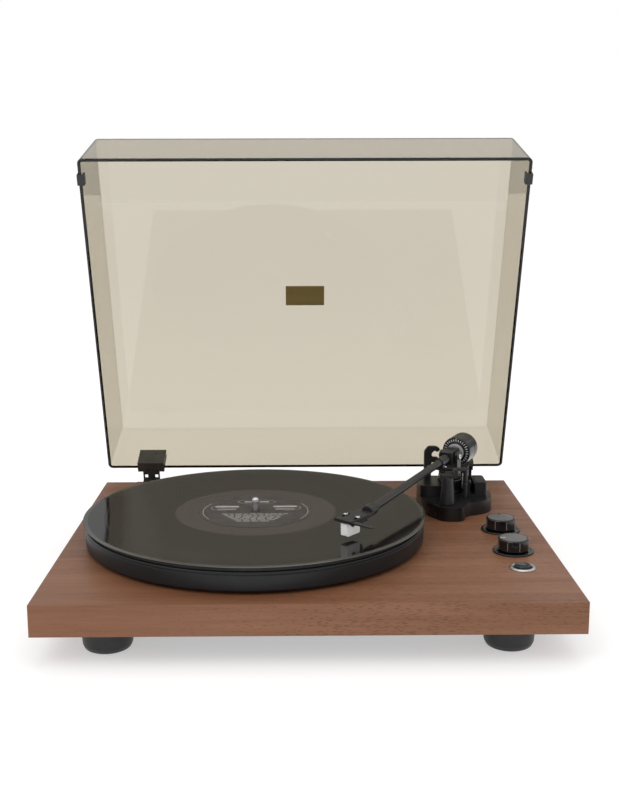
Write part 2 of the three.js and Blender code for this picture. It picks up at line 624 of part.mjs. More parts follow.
const tubeRear = BLOCK.front - BLOCK.tubeSocket + GAP;
add(tilt, 'arm_tube', alongY(ring(
  ARM.tubeRadius - ARM.tubeWall, ARM.tubeRadius, -ARM.reach, -tubeRear, 16)), carbon);

const stubFront = BLOCK.back - BLOCK.stubSocket + GAP;
add(tilt, 'counterweight_stub', alongY(disc(STUB.radius, stubFront, stubFront + STUB.length, 12)), steel);
add(tilt, 'weight_bush', alongY(ring(
  STUB.radius + GAP, BUSH.radius, BUSH.front, BUSH.front + BUSH.length, 16)), brass);
const bushHole = BUSH.radius + GAP + 0.05;
const weightBack = WEIGHT.front + WEIGHT.length;
add(tilt, 'counterweight', alongY(turned([
  [bushHole, WEIGHT.front], [WEIGHT.radius - WEIGHT.rim, WEIGHT.front],
  [WEIGHT.radius, WEIGHT.front + WEIGHT.rim], [WEIGHT.radius, weightBack - WEIGHT.rim],
  [WEIGHT.radius - WEIGHT.rim, weightBack], [bushHole, weightBack], [bushHole, WEIGHT.front],
], 24)), blackPlastic);
add(tilt, 'force_dial', alongY(ring(
  STUB.radius + GAP * 2, DIAL.radius, DIAL.hub, DIAL.hub + DIAL.length, 20)), sheetSteel);

// ---------------------------------------------------------------- headshell and cartridge
const shell = group(tilt, 0, -ARM.reach, 0);
shell.rotation.z = -rad(SHELL.offsetDeg);
const shellTop = SHELL.thickness / 2;
const screwX = CARTRIDGE_SCREW.spacing / 2;
const screwHoleRadius = CARTRIDGE_SCREW.radius + GAP;

function makeHeadshell() {
  const { halfWidth, front, back } = SHELL;
  const outline = polygon([
    [-5, back], [5, back], [halfWidth, -8], [halfWidth, -front], [-halfWidth, -front], [-halfWidth, -8],
  ]);
  const socket = alongY(disc(ARM.tubeRadius + GAP, -1, SHELL_COLLAR.length + 6, 16));
  const barrel = alongY(disc(SHELL_COLLAR.radius, -2, SHELL_COLLAR.length, 16));
  const turn = rad(SHELL.offsetDeg);
  return cut(
    join(prism(outline, -shellTop, shellTop), barrel.rotateZ(turn)),
    socket.rotateZ(turn),
    disc(screwHoleRadius, -shellTop - 1, shellTop + 1, 10, screwX, CARTRIDGE_SCREW.y),
    disc(screwHoleRadius, -shellTop - 1, shellTop + 1, 10, -screwX, CARTRIDGE_SCREW.y));
}
add(shell, 'headshell', makeHeadshell(), blackPlastic);
const tabX = SHELL.halfWidth + GAP;
add(shell, 'finger_lift', block(tabX, tabX + LIFT_TAB.length, -SHELL.front, -SHELL.front + LIFT_TAB.width,
  -LIFT_TAB.thickness / 2, LIFT_TAB.thickness / 2), blackPlastic);

const cartridgeTop = -shellTop - SEAT;
const cartridgeBottom = cartridgeTop - CARTRIDGE.height;
const screwTip = cartridgeTop - CARTRIDGE_SCREW.depth;
add(shell, 'cartridge', cut(
  block(-CARTRIDGE.halfWidth, CARTRIDGE.halfWidth, -CARTRIDGE.front, -CARTRIDGE.back,
    cartridgeBottom, cartridgeTop),
  disc(screwHoleRadius, screwTip, cartridgeTop + 1, 10, screwX, CARTRIDGE_SCREW.y),
  disc(screwHoleRadius, screwTip, cartridgeTop + 1, 10, -screwX, CARTRIDGE_SCREW.y)), blackPlastic);

function makeStylus() {
  const { halfWidth, back, front, height, tip, notch } = STYLUS;
  const top = cartridgeBottom - SEAT;
  const body = polygon([
    [-halfWidth, -back], [-halfWidth, -front + notch], [-halfWidth + notch, -front],
    [halfWidth - notch, -front], [halfWidth, -front + notch], [halfWidth, -back],
  ]);
  const point = turned([[0, -tip], [0.9, 1], [0, 1]], 8);
  return join(prism(body, top - height, top), point.translate(0, -front + 5, top - height));
}
add(shell, 'stylus_assembly', makeStylus(), ivory);

for (const [side, sign] of [['left', -1], ['right', 1]]) {
  const { radius, headRadius, headHeight } = CARTRIDGE_SCREW;
  add(shell, `cartridge_screw_${side}`, turned([
    [0, screwTip + GAP], [radius, screwTip + GAP], [radius, shellTop + SEAT],
    [headRadius, shellTop + SEAT], [headRadius, shellTop + SEAT + headHeight],
    [0, shellTop + SEAT + headHeight],
  ], 10), steel, sign * screwX, CARTRIDGE_SCREW.y);
}

// ---------------------------------------------------------------- hinges and dust cover
const hingeY = PLINTH.depth + HINGE.behind;
const hingeZ = deckZ - HINGE.drop;
const hinge = group(assembly, 0, hingeY, hingeZ);

// The lid group is modelled shut, round the hinge axis, and turned open.
const lid = group(hinge);
lid.rotation.x = -rad(HINGE.openDeg);
const rimZ = COVER.rimLift + HINGE.drop;
const lidBack = -HINGE.behind - COVER.backInset;
const lidFront = lidBack - coverLength;
const draft = Math.tan(rad(COVER.draftDeg));

// A rounded box whose sides lean in by the draft.
function draftedBox(x0, x1, y0, y1, radius, height) {
  const geometry = prism(roundedRectangle(x0, x1, y0, y1, radius), 0, height, 3);
  const point = geometry.attributes.position;
  const middle = (y0 + y1) / 2;
  for (let i = 0; i < point.count; i += 1) {
    const lean = draft * point.getZ(i);
    point.setX(i, point.getX(i) * (1 - lean / x1));
    point.setY(i, middle + (point.getY(i) - middle) * (1 - lean / (y1 - middle)));
  }
  return geometry;
}

function makeDustCover() {
  const half = coverWidth / 2;
  const { wall, corner, height } = COVER;
  return cut(
    draftedBox(-half, half, lidFront, lidBack, corner, height).translate(0, 0, rimZ),
    draftedBox(-half + wall, half - wall, lidFront + wall, lidBack - wall, corner - wall, height - wall)
      .translate(0, 0, rimZ),
    block(-half + wall + 1, half - wall - 1, lidFront + wall + 1, lidBack - wall - 1, rimZ - 1, rimZ + 1));
}
add(lid, 'dust_cover', makeDustCover(), smoked);

// A clip that grips the rear wall near the rim. Its arm reaches over the rear edge of the plinth,
// where two windows lighten it, and down to the hinge pin.
function makeHingeClip() {
  const half = HINGE.width / 2;
  const wallOuter = lidBack + GAP;
  const wallInner = lidBack - COVER.wall - draft * CLIP.depth - GAP;
  const top = rimZ + CLIP.depth;
  const bottom = rimZ - GAP;
  const under = HINGE.drop + GAP;
  const knuckleHalf = half - BRACKET.ear - GAP;
  const window = (x) => block(x - CLIP.window / 2, x + CLIP.window / 2,
    -HINGE.behind - 1, -HINGE.knuckle, under - 1, under + CLIP.plate + 1);
  return cut(
    join(
      block(-half, half, wallOuter, wallOuter + CLIP.jaw, bottom - 1, top),
      block(-half, half, wallInner - CLIP.jaw, wallInner, bottom - 1, top),
      block(-half, half, wallInner - CLIP.jaw, wallOuter + CLIP.jaw, bottom - 1.4, bottom),
      block(-knuckleHalf, knuckleHalf, wallOuter + 1, HINGE.knuckle - 1, under, under + CLIP.plate),
      block(-knuckleHalf, knuckleHalf, 1 - HINGE.knuckle, HINGE.knuckle - 1, 0, under + 1),
      alongX(disc(HINGE.knuckle, -knuckleHalf, knuckleHalf, 16))),
    window(-CLIP.windowX),
    window(CLIP.windowX),
    alongX(disc(HINGE.pin + GAP, -half, half, 12)));
}

// A bracket on the rear face of the plinth, with two ears for the pin.
function makeHingeBracket() {
  const half = HINGE.width / 2;
  const face = SEAT - HINGE.behind;
  const top = HINGE.drop - GAP;
  const ear = (x) => join(
    block(x, x + BRACKET.ear, face, 0, -HINGE.knuckle, HINGE.knuckle - 1),
    alongX(disc(HINGE.knuckle, x, x + BRACKET.ear, 16)));
  return cut(
    join(
      block(-half, half, face, face + BRACKET.thickness, top - BRACKET.height, top),
      ear(-half),
      ear(half - BRACKET.ear)),
    alongX(disc(HINGE.pin + GAP, -half - 1, half + 1, 12)));
}

for (const [side, sign] of [['left', -1], ['right', 1]]) {
  const x = sign * (PLINTH.width / 2 - HINGE.fromSide);
  add(hinge, `hinge_bracket_${side}`, makeHingeBracket(), blackPlastic, x);
  add(hinge, `hinge_pin_${side}`,
    alongX(disc(HINGE.pin, -HINGE.width / 2 - 1, HINGE.width / 2 + 1, 12)), steel, x);
  add(lid, `hinge_clip_${side}`, makeHingeClip(), blackPlastic, x);
}

// Rubber clips that straddle the side rims and rest on the deck.
function makeBumper() {
  const { height, depth, wall } = BUMPER;
  const inner = COVER.wall + draft * depth + GAP;
  const shape = polygon([
    [GAP + wall - 1, -COVER.rimLift + SEAT], [GAP + wall - 1, depth], [GAP, depth], [GAP, -GAP],
    [-inner, -GAP], [-inner, depth], [-inner - wall, depth], [-inner - wall, -COVER.rimLift + SEAT],
  ]);
  return prism(shape, 0, height).rotateX(Math.PI / 2);
}
const bumperY = lidFront + BUMPER.fromFront + BUMPER.height / 2;
const bumperX = coverWidth / 2;
add(lid, 'cover_bumper_right', makeBumper(), rubber, bumperX, bumperY, rimZ);
add(lid, 'cover_bumper_left', makeBumper().scale(-1, 1, 1), rubber, -bumperX, bumperY, rimZ);

const plateY = lidBack - NAME_PLATE.fromRim;
const lidTop = rimZ + COVER.height + SEAT;
add(lid, 'name_plate', block(-NAME_PLATE.width / 2, NAME_PLATE.width / 2, plateY - NAME_PLATE.height / 2,
  plateY + NAME_PLATE.height / 2, lidTop, lidTop + NAME_PLATE.thickness), plateBronze);

// ---------------------------------------------------------------- origin
player.updateMatrixWorld(true);
const bounds = new THREE.Box3().setFromObject(player, true);
assembly.position.set(-(bounds.min.x + bounds.max.x) / 2, -(bounds.min.y + bounds.max.y) / 2, 0);

export default player;
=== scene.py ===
"""Looks of a belt-driven record player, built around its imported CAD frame."""

import math
import random

import bmesh
import bpy
from mathutils import Matrix, Vector


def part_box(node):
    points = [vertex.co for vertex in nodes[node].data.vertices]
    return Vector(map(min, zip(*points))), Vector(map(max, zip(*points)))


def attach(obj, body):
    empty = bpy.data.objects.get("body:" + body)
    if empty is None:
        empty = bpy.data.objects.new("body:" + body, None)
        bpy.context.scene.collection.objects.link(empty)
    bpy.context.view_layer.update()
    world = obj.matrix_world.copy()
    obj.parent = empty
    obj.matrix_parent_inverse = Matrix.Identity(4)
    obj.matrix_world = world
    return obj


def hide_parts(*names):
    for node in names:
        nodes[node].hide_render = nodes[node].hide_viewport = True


MM = 0.001
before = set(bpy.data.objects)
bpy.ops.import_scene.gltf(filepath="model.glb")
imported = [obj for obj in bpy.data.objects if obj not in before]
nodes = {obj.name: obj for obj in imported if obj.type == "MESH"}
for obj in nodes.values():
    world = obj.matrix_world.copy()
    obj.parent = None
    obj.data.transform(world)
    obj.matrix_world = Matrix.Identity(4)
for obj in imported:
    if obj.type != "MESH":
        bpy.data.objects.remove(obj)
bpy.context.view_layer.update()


def low(node):
    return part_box(node)[0]


def high(node):
    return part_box(node)[1]


def centre(node):
    return (low(node) + high(node)) / 2


# ---------------- materials
class Paint:
    """A node material whose Principled shader is fed by procedural textures."""

    def __init__(self, name, color=(0.8, 0.8, 0.8), **sockets):
        self.material = bpy.data.materials.new(name)
        self.material.use_nodes = True
        self.tree = self.material.node_tree
        self.shader = self.tree.nodes["Principled BSDF"]
        self.set("Base Color", (*color, 1))
        for socket, value in sockets.items():
            self.set(socket.replace("_", " "), value)

    def set(self, socket, value):
        self.shader.inputs[socket].default_value = value

    def node(self, kind, **inputs):
        made = self.tree.nodes.new(kind)
        for name, value in inputs.items():
            if hasattr(made, name) and name not in made.inputs:
                setattr(made, name, value)
            else:
                made.inputs[name.replace("_", " ")].default_value = value
        return made

    def link(self, output, target):
        self.tree.links.new(output, target)

    def place(self, stretch=(1, 1, 1)):
        """The object's own coordinates in metres, stretched."""
        source = self.node("ShaderNodeTexCoord")
        mapping = self.node("ShaderNodeMapping")
        mapping.inputs["Scale"].default_value = stretch
        self.link(source.outputs["Object"], mapping.inputs["Vector"])
        return mapping.outputs["Vector"]

    def noise(self, scale, stretch=(1, 1, 1), detail=3.0, distortion=0.0):
        made = self.node("ShaderNodeTexNoise", Scale=scale, Detail=detail, Distortion=distortion)
        self.link(self.place(stretch), made.inputs["Vector"])
        return made.outputs["Fac"]

    def remap(self, value, from_low, from_high, to_low, to_high):
        made = self.node("ShaderNodeMapRange")
        for name, number in (("From Min", from_low), ("From Max", from_high),
                             ("To Min", to_low), ("To Max", to_high)):
            made.inputs[name].default_value = number
        self.link(value, made.inputs["Value"])
        return made.outputs["Result"]

    def math(self, operation, a, b=None):
        made = self.node("ShaderNodeMath", operation=operation)
        for slot, value in zip(made.inputs, (a, b)):
            if value is None:
                continue
            if isinstance(value, (int, float)):
                slot.default_value = value
            else:
                self.link(value, slot)
        return made.outputs["Value"]

    def ramp(self, value, *stops):
        made = self.node("ShaderNodeValToRGB")
        elements = made.color_ramp.elements
        while len(elements) < len(stops):
            elements.new(0.5)
        for element, (position, color) in zip(elements, stops):
            element.position = position
            element.color = (*color, 1)
        self.link(value, made.inputs["Fac"])
        return made.outputs["Color"]

    def mix(self, factor, a, b):
        made = self.node("ShaderNodeMix", data_type="RGBA")
        for slot, value in zip((made.inputs["Factor"], *made.inputs[6:8]), (factor, a, b)):
            if isinstance(value, bpy.types.NodeSocket):
                self.link(value, slot)
            else:
                slot.default_value = value if isinstance(value, float) else (*value, 1)
        return made.outputs[2]

    def bump(self, height, distance, strength=1.0):
        made = self.node("ShaderNodeBump", Strength=strength, Distance=distance)
        self.link(height, made.inputs["Height"])
        earlier = self.shader.inputs["Normal"]
        if earlier.is_linked:
            self.link(earlier.links[0].from_socket, made.inputs["Normal"])
        self.link(made.outputs["Normal"], earlier)

    def vary(self, dark, light, scale, rough, bump=0.0, bump_scale=None, stretch=(1, 1, 1)):
        """Uneven colour, roughness between two values, and a fine relief of a depth in mm."""
        self.link(self.ramp(self.noise(scale, stretch), (0.3, dark), (0.7, light)),
                  self.shader.inputs["Base Color"])
        self.link(self.remap(self.noise(scale * 1.7, stretch, 5), 0.3, 0.7, *rough),
                  self.shader.inputs["Roughness"])
        if bump:
            self.bump(self.noise(bump_scale or scale * 8, stretch, 2), bump * MM)
        return self


def make_walnut():
    paint = Paint("walnut_veneer", Specular_IOR_Level=0.4)
    broad = paint.noise(1.0, (2.2, 13, 30), 3, 0.6)
    streaks = paint.noise(1.0, (9, 150, 260), 6, 0.3)
    fibres = paint.noise(1.0, (45, 1100, 1500), 3)
    wander = paint.noise(1.0, (3.5, 9, 9), 2)
    rings = paint.node("ShaderNodeTexWave", bands_direction="Y", Scale=9.0, Distortion=5.0, Detail=2.5)
    paint.link(paint.place((0.25, 1, 1.6)), rings.inputs["Vector"])
    grain = paint.math("ADD", paint.math("MULTIPLY", broad, 0.66), paint.math("MULTIPLY", streaks, 0.38))
    grain = paint.math("ADD", grain, paint.math("MULTIPLY", rings.outputs["Fac"], 0.13))
    color = paint.ramp(grain, (0.34, (0.124, 0.046, 0.019)), (0.50, (0.164, 0.065, 0.029)),
                       (0.64, (0.193, 0.080, 0.038)), (0.82, (0.230, 0.103, 0.052)))
    color = paint.mix(paint.remap(fibres, 0.35, 0.7, 0.0, 0.3), color, (0.265, 0.124, 0.064))
    pores = paint.node("ShaderNodeTexVoronoi", Scale=1.0, Randomness=1.0)
    paint.link(paint.place((130, 1500, 1500)), pores.inputs["Vector"])
    clusters = paint.remap(wander, 0.4, 0.62, 0.13, 0.3)
    open_pore = paint.math("LESS_THAN", pores.outputs["Distance"], clusters)
    color = paint.mix(paint.math("MULTIPLY", open_pore, 0.62), color, (0.040, 0.014, 0.008))
    paint.link(color, paint.shader.inputs["Base Color"])
    paint.link(paint.remap(streaks, 0.3, 0.7, 0.5, 0.4), paint.shader.inputs["Roughness"])
    paint.bump(paint.math("SUBTRACT", fibres, open_pore), 0.05 * MM, 0.6)
    return paint.material


def make_acrylic():
    """Clear smoke-tinted sheet: the tint builds up with the thickness that light passes through."""
    paint = Paint("smoked_acrylic", (1, 1, 1), Transmission_Weight=1.0, IOR=1.49)
    paint.link(paint.remap(paint.noise(35, detail=4), 0.35, 0.75, 0.012, 0.035),
               paint.shader.inputs["Roughness"])
    paint.bump(paint.noise(9, detail=1), 0.05 * MM, 0.3)
    smoke = paint.node("ShaderNodeVolumeAbsorption", Color=(0.50, 0.415, 0.21, 1), Density=300.0)
    paint.link(smoke.outputs["Volume"], paint.tree.nodes["Material Output"].inputs["Volume"])
    return paint.material


def radius_of(paint):
    """Distance from the object's Z axis, in metres."""
    split = paint.node("ShaderNodeSeparateXYZ")
    paint.link(paint.place(), split.inputs["Vector"])
    flat = paint.node("ShaderNodeCombineXYZ")
    paint.link(split.outputs["X"], flat.inputs["X"])
    paint.link(split.outputs["Y"], flat.inputs["Y"])
    length = paint.node("ShaderNodeVectorMath", operation="LENGTH")
    paint.link(flat.outputs["Vector"], length.inputs[0])
    return length.outputs["Value"]


def circular_tangent(paint):
    tangent = paint.node("ShaderNodeTangent", direction_type="RADIAL", axis="Z")
    paint.link(tangent.outputs["Tangent"], paint.shader.inputs["Tangent"])


def make_vinyl():
    """Pressed vinyl: fine circular grooves, in bands of different loudness."""
    paint = Paint("vinyl_grooves", (0.008, 0.008, 0.008), IOR=1.36, Anisotropic=0.3)
    circular_tangent(paint)
    radius = radius_of(paint)
    loud = paint.node("ShaderNodeTexNoise", noise_dimensions="1D", Scale=900.0, Detail=4.0)
    paint.link(radius, loud.inputs["W"])
    color = paint.ramp(loud.outputs["Fac"], (0.3, (0.008, 0.0065, 0.0058)), (0.7, (0.0115, 0.0095, 0.0085)))
    paint.link(color, paint.shader.inputs["Base Color"])
    paint.link(paint.remap(loud.outputs["Fac"], 0.3, 0.7, 0.06, 0.10), paint.shader.inputs["Roughness"])
    groove = paint.math("SINE", paint.math("MULTIPLY", radius, 2 * math.pi / (0.45 * MM)))
    paint.bump(groove, 0.001 * MM, 0.25)
    return paint.material


def make_ringed(name, dark, light, rough, pitch, depth, **sockets):
    """A turned or brushed disc: fine concentric tool marks."""
    paint = Paint(name, light, Anisotropic=0.5, **sockets)
    circular_tangent(paint)
    radius = radius_of(paint)
    marks = paint.node("ShaderNodeTexNoise", noise_dimensions="1D", Scale=1 / (pitch * MM), Detail=3.0)
    paint.link(radius, marks.inputs["W"])
    paint.link(paint.ramp(marks.outputs["Fac"], (0.3, dark), (0.7, light)), paint.shader.inputs["Base Color"])
    paint.link(paint.remap(paint.noise(60), 0.3, 0.7, *rough), paint.shader.inputs["Roughness"])
    paint.bump(marks.outputs["Fac"], depth * MM, 0.5)
    return paint.material


def make_carbon():
    """Carbon fibre twill under a satin lacquer."""
    paint = Paint("carbon_tube", Specular_IOR_Level=0.45)
    weave = paint.node("ShaderNodeTexChecker", Scale=1.0)
    paint.link(paint.place((700, 700, 700)), weave.inputs["Vector"])
    color = paint.mix(weave.outputs["Fac"], (0.012, 0.0115, 0.011), (0.024, 0.022, 0.020))
    color = paint.mix(paint.remap(paint.noise(300), 0.3, 0.7, 0.0, 0.5), color, (0.018, 0.017, 0.016))
    paint.link(color, paint.shader.inputs["Base Color"])
    paint.link(paint.remap(weave.outputs["Fac"], 0, 1, 0.34, 0.48), paint.shader.inputs["Roughness"])
    paint.bump(weave.outputs["Fac"], 0.03 * MM, 0.5)
    return paint.material


WALNUT = make_walnut()
ACRYLIC = make_acrylic()
VINYL = make_vinyl()
CARBON = make_carbon()
# Run-out and rim vinyl, lighter than the grooved vinyl: the turned rings are real, the lighter tone is
# painted sheen standing in for the smooth vinyl's brighter reflection.
DEAD_WAX_WITH_PAINTED_SHEEN = make_ringed("vinyl_dead_wax_painted_sheen", (0.024, 0.020, 0.0165), (0.036, 0.030, 0.025),
                       (0.09, 0.13), 0.8, 0.0004, IOR=1.56)
PLATTER_BLACK = make_ringed("platter_satin_black", (0.008, 0.009, 0.010), (0.012, 0.013, 0.0145),
                            (0.34, 0.44), 0.5, 0.008, IOR=1.4)
BRUSHED_TOP = make_ringed("brushed_cap", (0.11, 0.108, 0.107), (0.22, 0.218, 0.215), (0.3, 0.42), 0.25, 0.01,
                          Metallic=0.6)
PAPER = Paint("label_paper", Sheen_Weight=0.1).vary(
    (0.016, 0.011, 0.009), (0.024, 0.017, 0.014), 60, (0.5, 0.65), 0.01, 900).material
SILVER_INK = Paint("label_silver_ink", Metallic=0.2).vary(
    (0.38, 0.36, 0.33), (0.52, 0.50, 0.46), 200, (0.35, 0.5), 0.01, 1500).material
# Grey metal for the knob ribs, whose own finish is gloss black: painted glints, standing in for the light the
# rib edges catch.
RIB_PAINTED_GLINT = Paint("knob_rib_painted_glint", Metallic=0.6).vary(
    (0.20, 0.20, 0.20), (0.34, 0.34, 0.34), 200, (0.25, 0.4), 0.004, 1500).material
WHITE_INK = Paint("scale_white_ink").vary(
    (0.55, 0.55, 0.54), (0.75, 0.75, 0.73), 300, (0.45, 0.6), 0.01, 1500).material
GLOSS_BLACK = Paint("gloss_black").vary(
    (0.004, 0.004, 0.0045), (0.007, 0.007, 0.0075), 40, (0.10, 0.18), 0.002, 90).material
BASE_BLACK = Paint("arm_base_black").vary(
    (0.005, 0.005, 0.0055), (0.009, 0.009, 0.0095), 40, (0.24, 0.36), 0.004, 500).material
CLIP_SMOKE = Paint("clip_smoke", Specular_IOR_Level=0.4).vary(
    (0.022, 0.020, 0.016), (0.046, 0.041, 0.034), 90, (0.25, 0.4), 0.01, 700).material
SATIN_BLACK = Paint("satin_black").vary(
    (0.007, 0.007, 0.0075), (0.012, 0.012, 0.013), 60, (0.32, 0.46), 0.02, 900).material
RUBBER = Paint("rubber", Sheen_Weight=0.15, Sheen_Roughness=0.5).vary(
    (0.013, 0.0135, 0.015), (0.021, 0.022, 0.024), 80, (0.48, 0.62), 0.03, 700).material
MAT_RUBBER = make_ringed("mat_rubber", (0.010, 0.010, 0.010), (0.017, 0.017, 0.017), (0.6, 0.75), 2.0, 0.05)
STEEL = Paint("bright_steel", Metallic=1.0).vary(
    (0.50, 0.50, 0.51), (0.66, 0.66, 0.66), 120, (0.14, 0.26), 0.004, 1200).material
DIAL_GREY = Paint("dial_grey", Metallic=0.35).vary(
    (0.24, 0.235, 0.245), (0.33, 0.325, 0.335), 150, (0.35, 0.5), 0.01, 900).material
BRASS = Paint("gold_plate", Metallic=1.0).vary(
    (0.70, 0.50, 0.22), (0.83, 0.62, 0.30), 150, (0.16, 0.3), 0.004, 1200).material
IVORY = Paint("cartridge_white").vary(
    (0.80, 0.79, 0.77), (0.90, 0.89, 0.87), 150, (0.3, 0.42), 0.01, 900).material
SOCKET_RED = Paint("socket_red").vary(
    (0.42, 0.03, 0.03), (0.52, 0.05, 0.04), 200, (0.3, 0.42), 0.01, 900).material
BOARD = Paint("board_green").vary(
    (0.010, 0.075, 0.030), (0.020, 0.125, 0.055), 500, (0.3, 0.5), 0.02, 1500).material
SHEET = Paint("sheet_steel", Metallic=0.8).vary(
    (0.10, 0.105, 0.11), (0.15, 0.155, 0.16), 90, (0.42, 0.6), 0.03, 1200).material
# Bronze painted far paler than the plate's own tone: partly the plate's real colour, partly painted light
# making up for the light the smoked cover keeps from it.
BRONZE_WITH_PAINTED_LIGHT = Paint("bronze_plate").vary(
    (0.74, 0.62, 0.30), (0.92, 0.80, 0.42), 60, (0.38, 0.5), 0.01, 1400, (0.1, 1, 1)).material
STEEL_RING = make_ringed("turned_steel", (0.36, 0.36, 0.37), (0.62, 0.62, 0.62), (0.16, 0.26), 0.3, 0.006,
                         Metallic=1.0)


# ---------------- shapes (their sizes are in mm)
def even_shading(piece):
    even = piece.modifiers.new("even_shading", "WEIGHTED_NORMAL")
    even.keep_sharp = True


def finish_mesh(name, bm, matrix, material, body, *replaced, slot=None, smooth=40, baked=False):
    """Turns a bmesh in mm into a piece that rides on a body. A baked piece has its place in its mesh."""
    bmesh.ops.remove_doubles(bm, verts=bm.verts, dist=1e-4)
    bmesh.ops.recalc_face_normals(bm, faces=bm.faces)
    bmesh.ops.scale(bm, vec=(MM, MM, MM), verts=bm.verts)
    if baked:
        bmesh.ops.transform(bm, matrix=matrix, verts=bm.verts)
        matrix = Matrix.Identity(4)
    mesh = bpy.data.meshes.new(name)
    bm.to_mesh(mesh)
    bm.free()
    piece = bpy.data.objects.new(name, mesh)
    bpy.context.scene.collection.objects.link(piece)
    piece.matrix_world = matrix
    mesh.materials.append(material)
    mesh.shade_smooth()
    mesh.set_sharp_from_angle(angle=math.radians(smooth))
    if body:
        even_shading(piece)
        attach(piece, body)
    if replaced:
        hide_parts(*replaced)
    return piece


def corner_arcs(points, radius, share, steps):
    """The points between the first and the last, each spread to an arc that takes a share of its sides."""
    made = []
    for before, corner, after in zip(points, points[1:], points[2:]):
        into, out = before - corner, after - corner
        reach = min(radius, into.length * share, out.length * share)
        if reach < 1e-4:
            made.append(corner)
            continue
        start, end = corner + into.normalized() * reach, corner + out.normalized() * reach
        for step in range(steps + 1):
            t = step / steps
            made.append(start * (1 - t) ** 2 + corner * 2 * t * (1 - t) + end * t ** 2)
    return made


def soften(points, radius):
    """Rounds the corners of a polyline, except its ends."""
    points = [Vector(p) for p in points]
    return [points[0], *corner_arcs(points, radius, 0.45, 3), points[-1]]


def rounded(outline, radius, steps=4):
    """Rounds every corner of a closed outline."""
    points = [Vector(p) for p in outline]
    return corner_arcs([points[-1], *points, points[0]], radius, 0.48, steps)


def lathe_mesh(profile, segments=64, radius=0.3, shape=None):
    """Turns a profile of (radius, height) round Z. shape(angle, r, z) may change a radius."""
    points = soften(profile, radius) if radius else [Vector(p) for p in profile]
    bm = bmesh.new()
    rings = []
    for r, z in points:
        if r < 1e-6:
            rings.append([bm.verts.new((0, 0, z))])
            continue
        ring = []
        for i in range(segments):
            a = 2 * math.pi * i / segments
            rr = shape(a, r, z) if shape else r
            ring.append(bm.verts.new((rr * math.cos(a), rr * math.sin(a), z)))
        rings.append(ring)
    for first, second in zip(rings, rings[1:]):
        for i in range(segments):
            j = (i + 1) % segments
            corners = [first[i % len(first)], first[j % len(first)],
                       second[j % len(second)], second[i % len(second)]]
            corners = list(dict.fromkeys(corners))
            if len(corners) > 2:
                bm.faces.new(corners)
    return bm


def prism_mesh(outline, z0, z1, bevel=0.5, segments=2, bm=None, matrix=None):
    """Extrudes an outline and rounds its edges."""
    part = bmesh.new()
    base = [part.verts.new((x, y, z0)) for x, y in outline]
    top = [part.verts.new((x, y, z1)) for x, y in outline]
    part.faces.new(base[::-1])
    part.faces.new(top)
    for i in range(len(base)):
        j = (i + 1) % len(base)
        part.faces.new((base[i], base[j], top[j], top[i]))
    if bevel:
        sharp = [e for e in part.edges if e.calc_face_angle(0) > math.radians(25)]
        bmesh.ops.bevel(part, geom=sharp, offset=bevel, segments=segments, profile=0.5,
                        affect="EDGES", clamp_overlap=True)
    if matrix:
        bmesh.ops.transform(part, matrix=matrix, verts=part.verts)
    if bm is None:
        return part
    scratch = bpy.data.meshes.new("scratch")
    part.to_mesh(scratch)
    part.free()
    bm.from_mesh(scratch)
    bpy.data.meshes.remove(scratch)
    return bm


def box_mesh(x, y, z, bevel=0.5, segments=2, bm=None, matrix=None):
    outline = [(x[0], y[0]), (x[1], y[0]), (x[1], y[1]), (x[0], y[1])]
    return prism_mesh(outline, z[0], z[1], bevel, segments, bm, matrix)


def combine(piece, other, operation="UNION"):
    """Joins another solid to a piece, or cuts it out, and removes the other."""
    world = other.matrix_world.copy()
    other.parent = None
    other.matrix_world = world
    piece.modifiers.clear()
    modifier = piece.modifiers.new("combine", "BOOLEAN")
    modifier.operation = operation
    modifier.solver = "EXACT"
    modifier.object = other
    bpy.context.view_layer.update()
    made = bpy.data.meshes.new_from_object(piece.evaluated_get(bpy.context.evaluated_depsgraph_get()))
    piece.modifiers.remove(modifier)
    piece.data = made
    made.shade_smooth()
    made.set_sharp_from_angle(angle=math.radians(40))
    bpy.data.objects.remove(other)
    even_shading(piece)


def solid(bm, matrix):
    """A helper solid for combine()."""
    return finish_mesh("helper", bm, matrix, SATIN_BLACK, None)


def refine(node, material, width, body, slot=None, segments=2):
    """The shape of a CAD node with its hard edges eased."""
    bm = bmesh.new()
    bm.from_mesh(nodes[node].data)
    bmesh.ops.remove_doubles(bm, verts=bm.verts, dist=1e-6)
    bmesh.ops.dissolve_limit(bm, angle_limit=math.radians(0.5), verts=bm.verts, edges=bm.edges)
    sharp = [e for e in bm.edges if e.is_manifold and e.calc_face_angle(0) > math.radians(40)]
    bmesh.ops.bevel(bm, geom=sharp, offset=width * MM, segments=segments, profile=0.5,
                    affect="EDGES", clamp_overlap=True)
    bmesh.ops.scale(bm, vec=(1 / MM,) * 3, verts=bm.verts)
    return finish_mesh(f"{node}_finished", bm, Matrix.Identity(4), material, body, node, slot=slot, smooth=35)


def at(*place):
    return Matrix.Translation(Vector(place))


ALONG_Y = Matrix.Rotation(math.radians(-90), 4, "X")
ALONG_X = Matrix.Rotation(math.radians(90), 4, "Y")

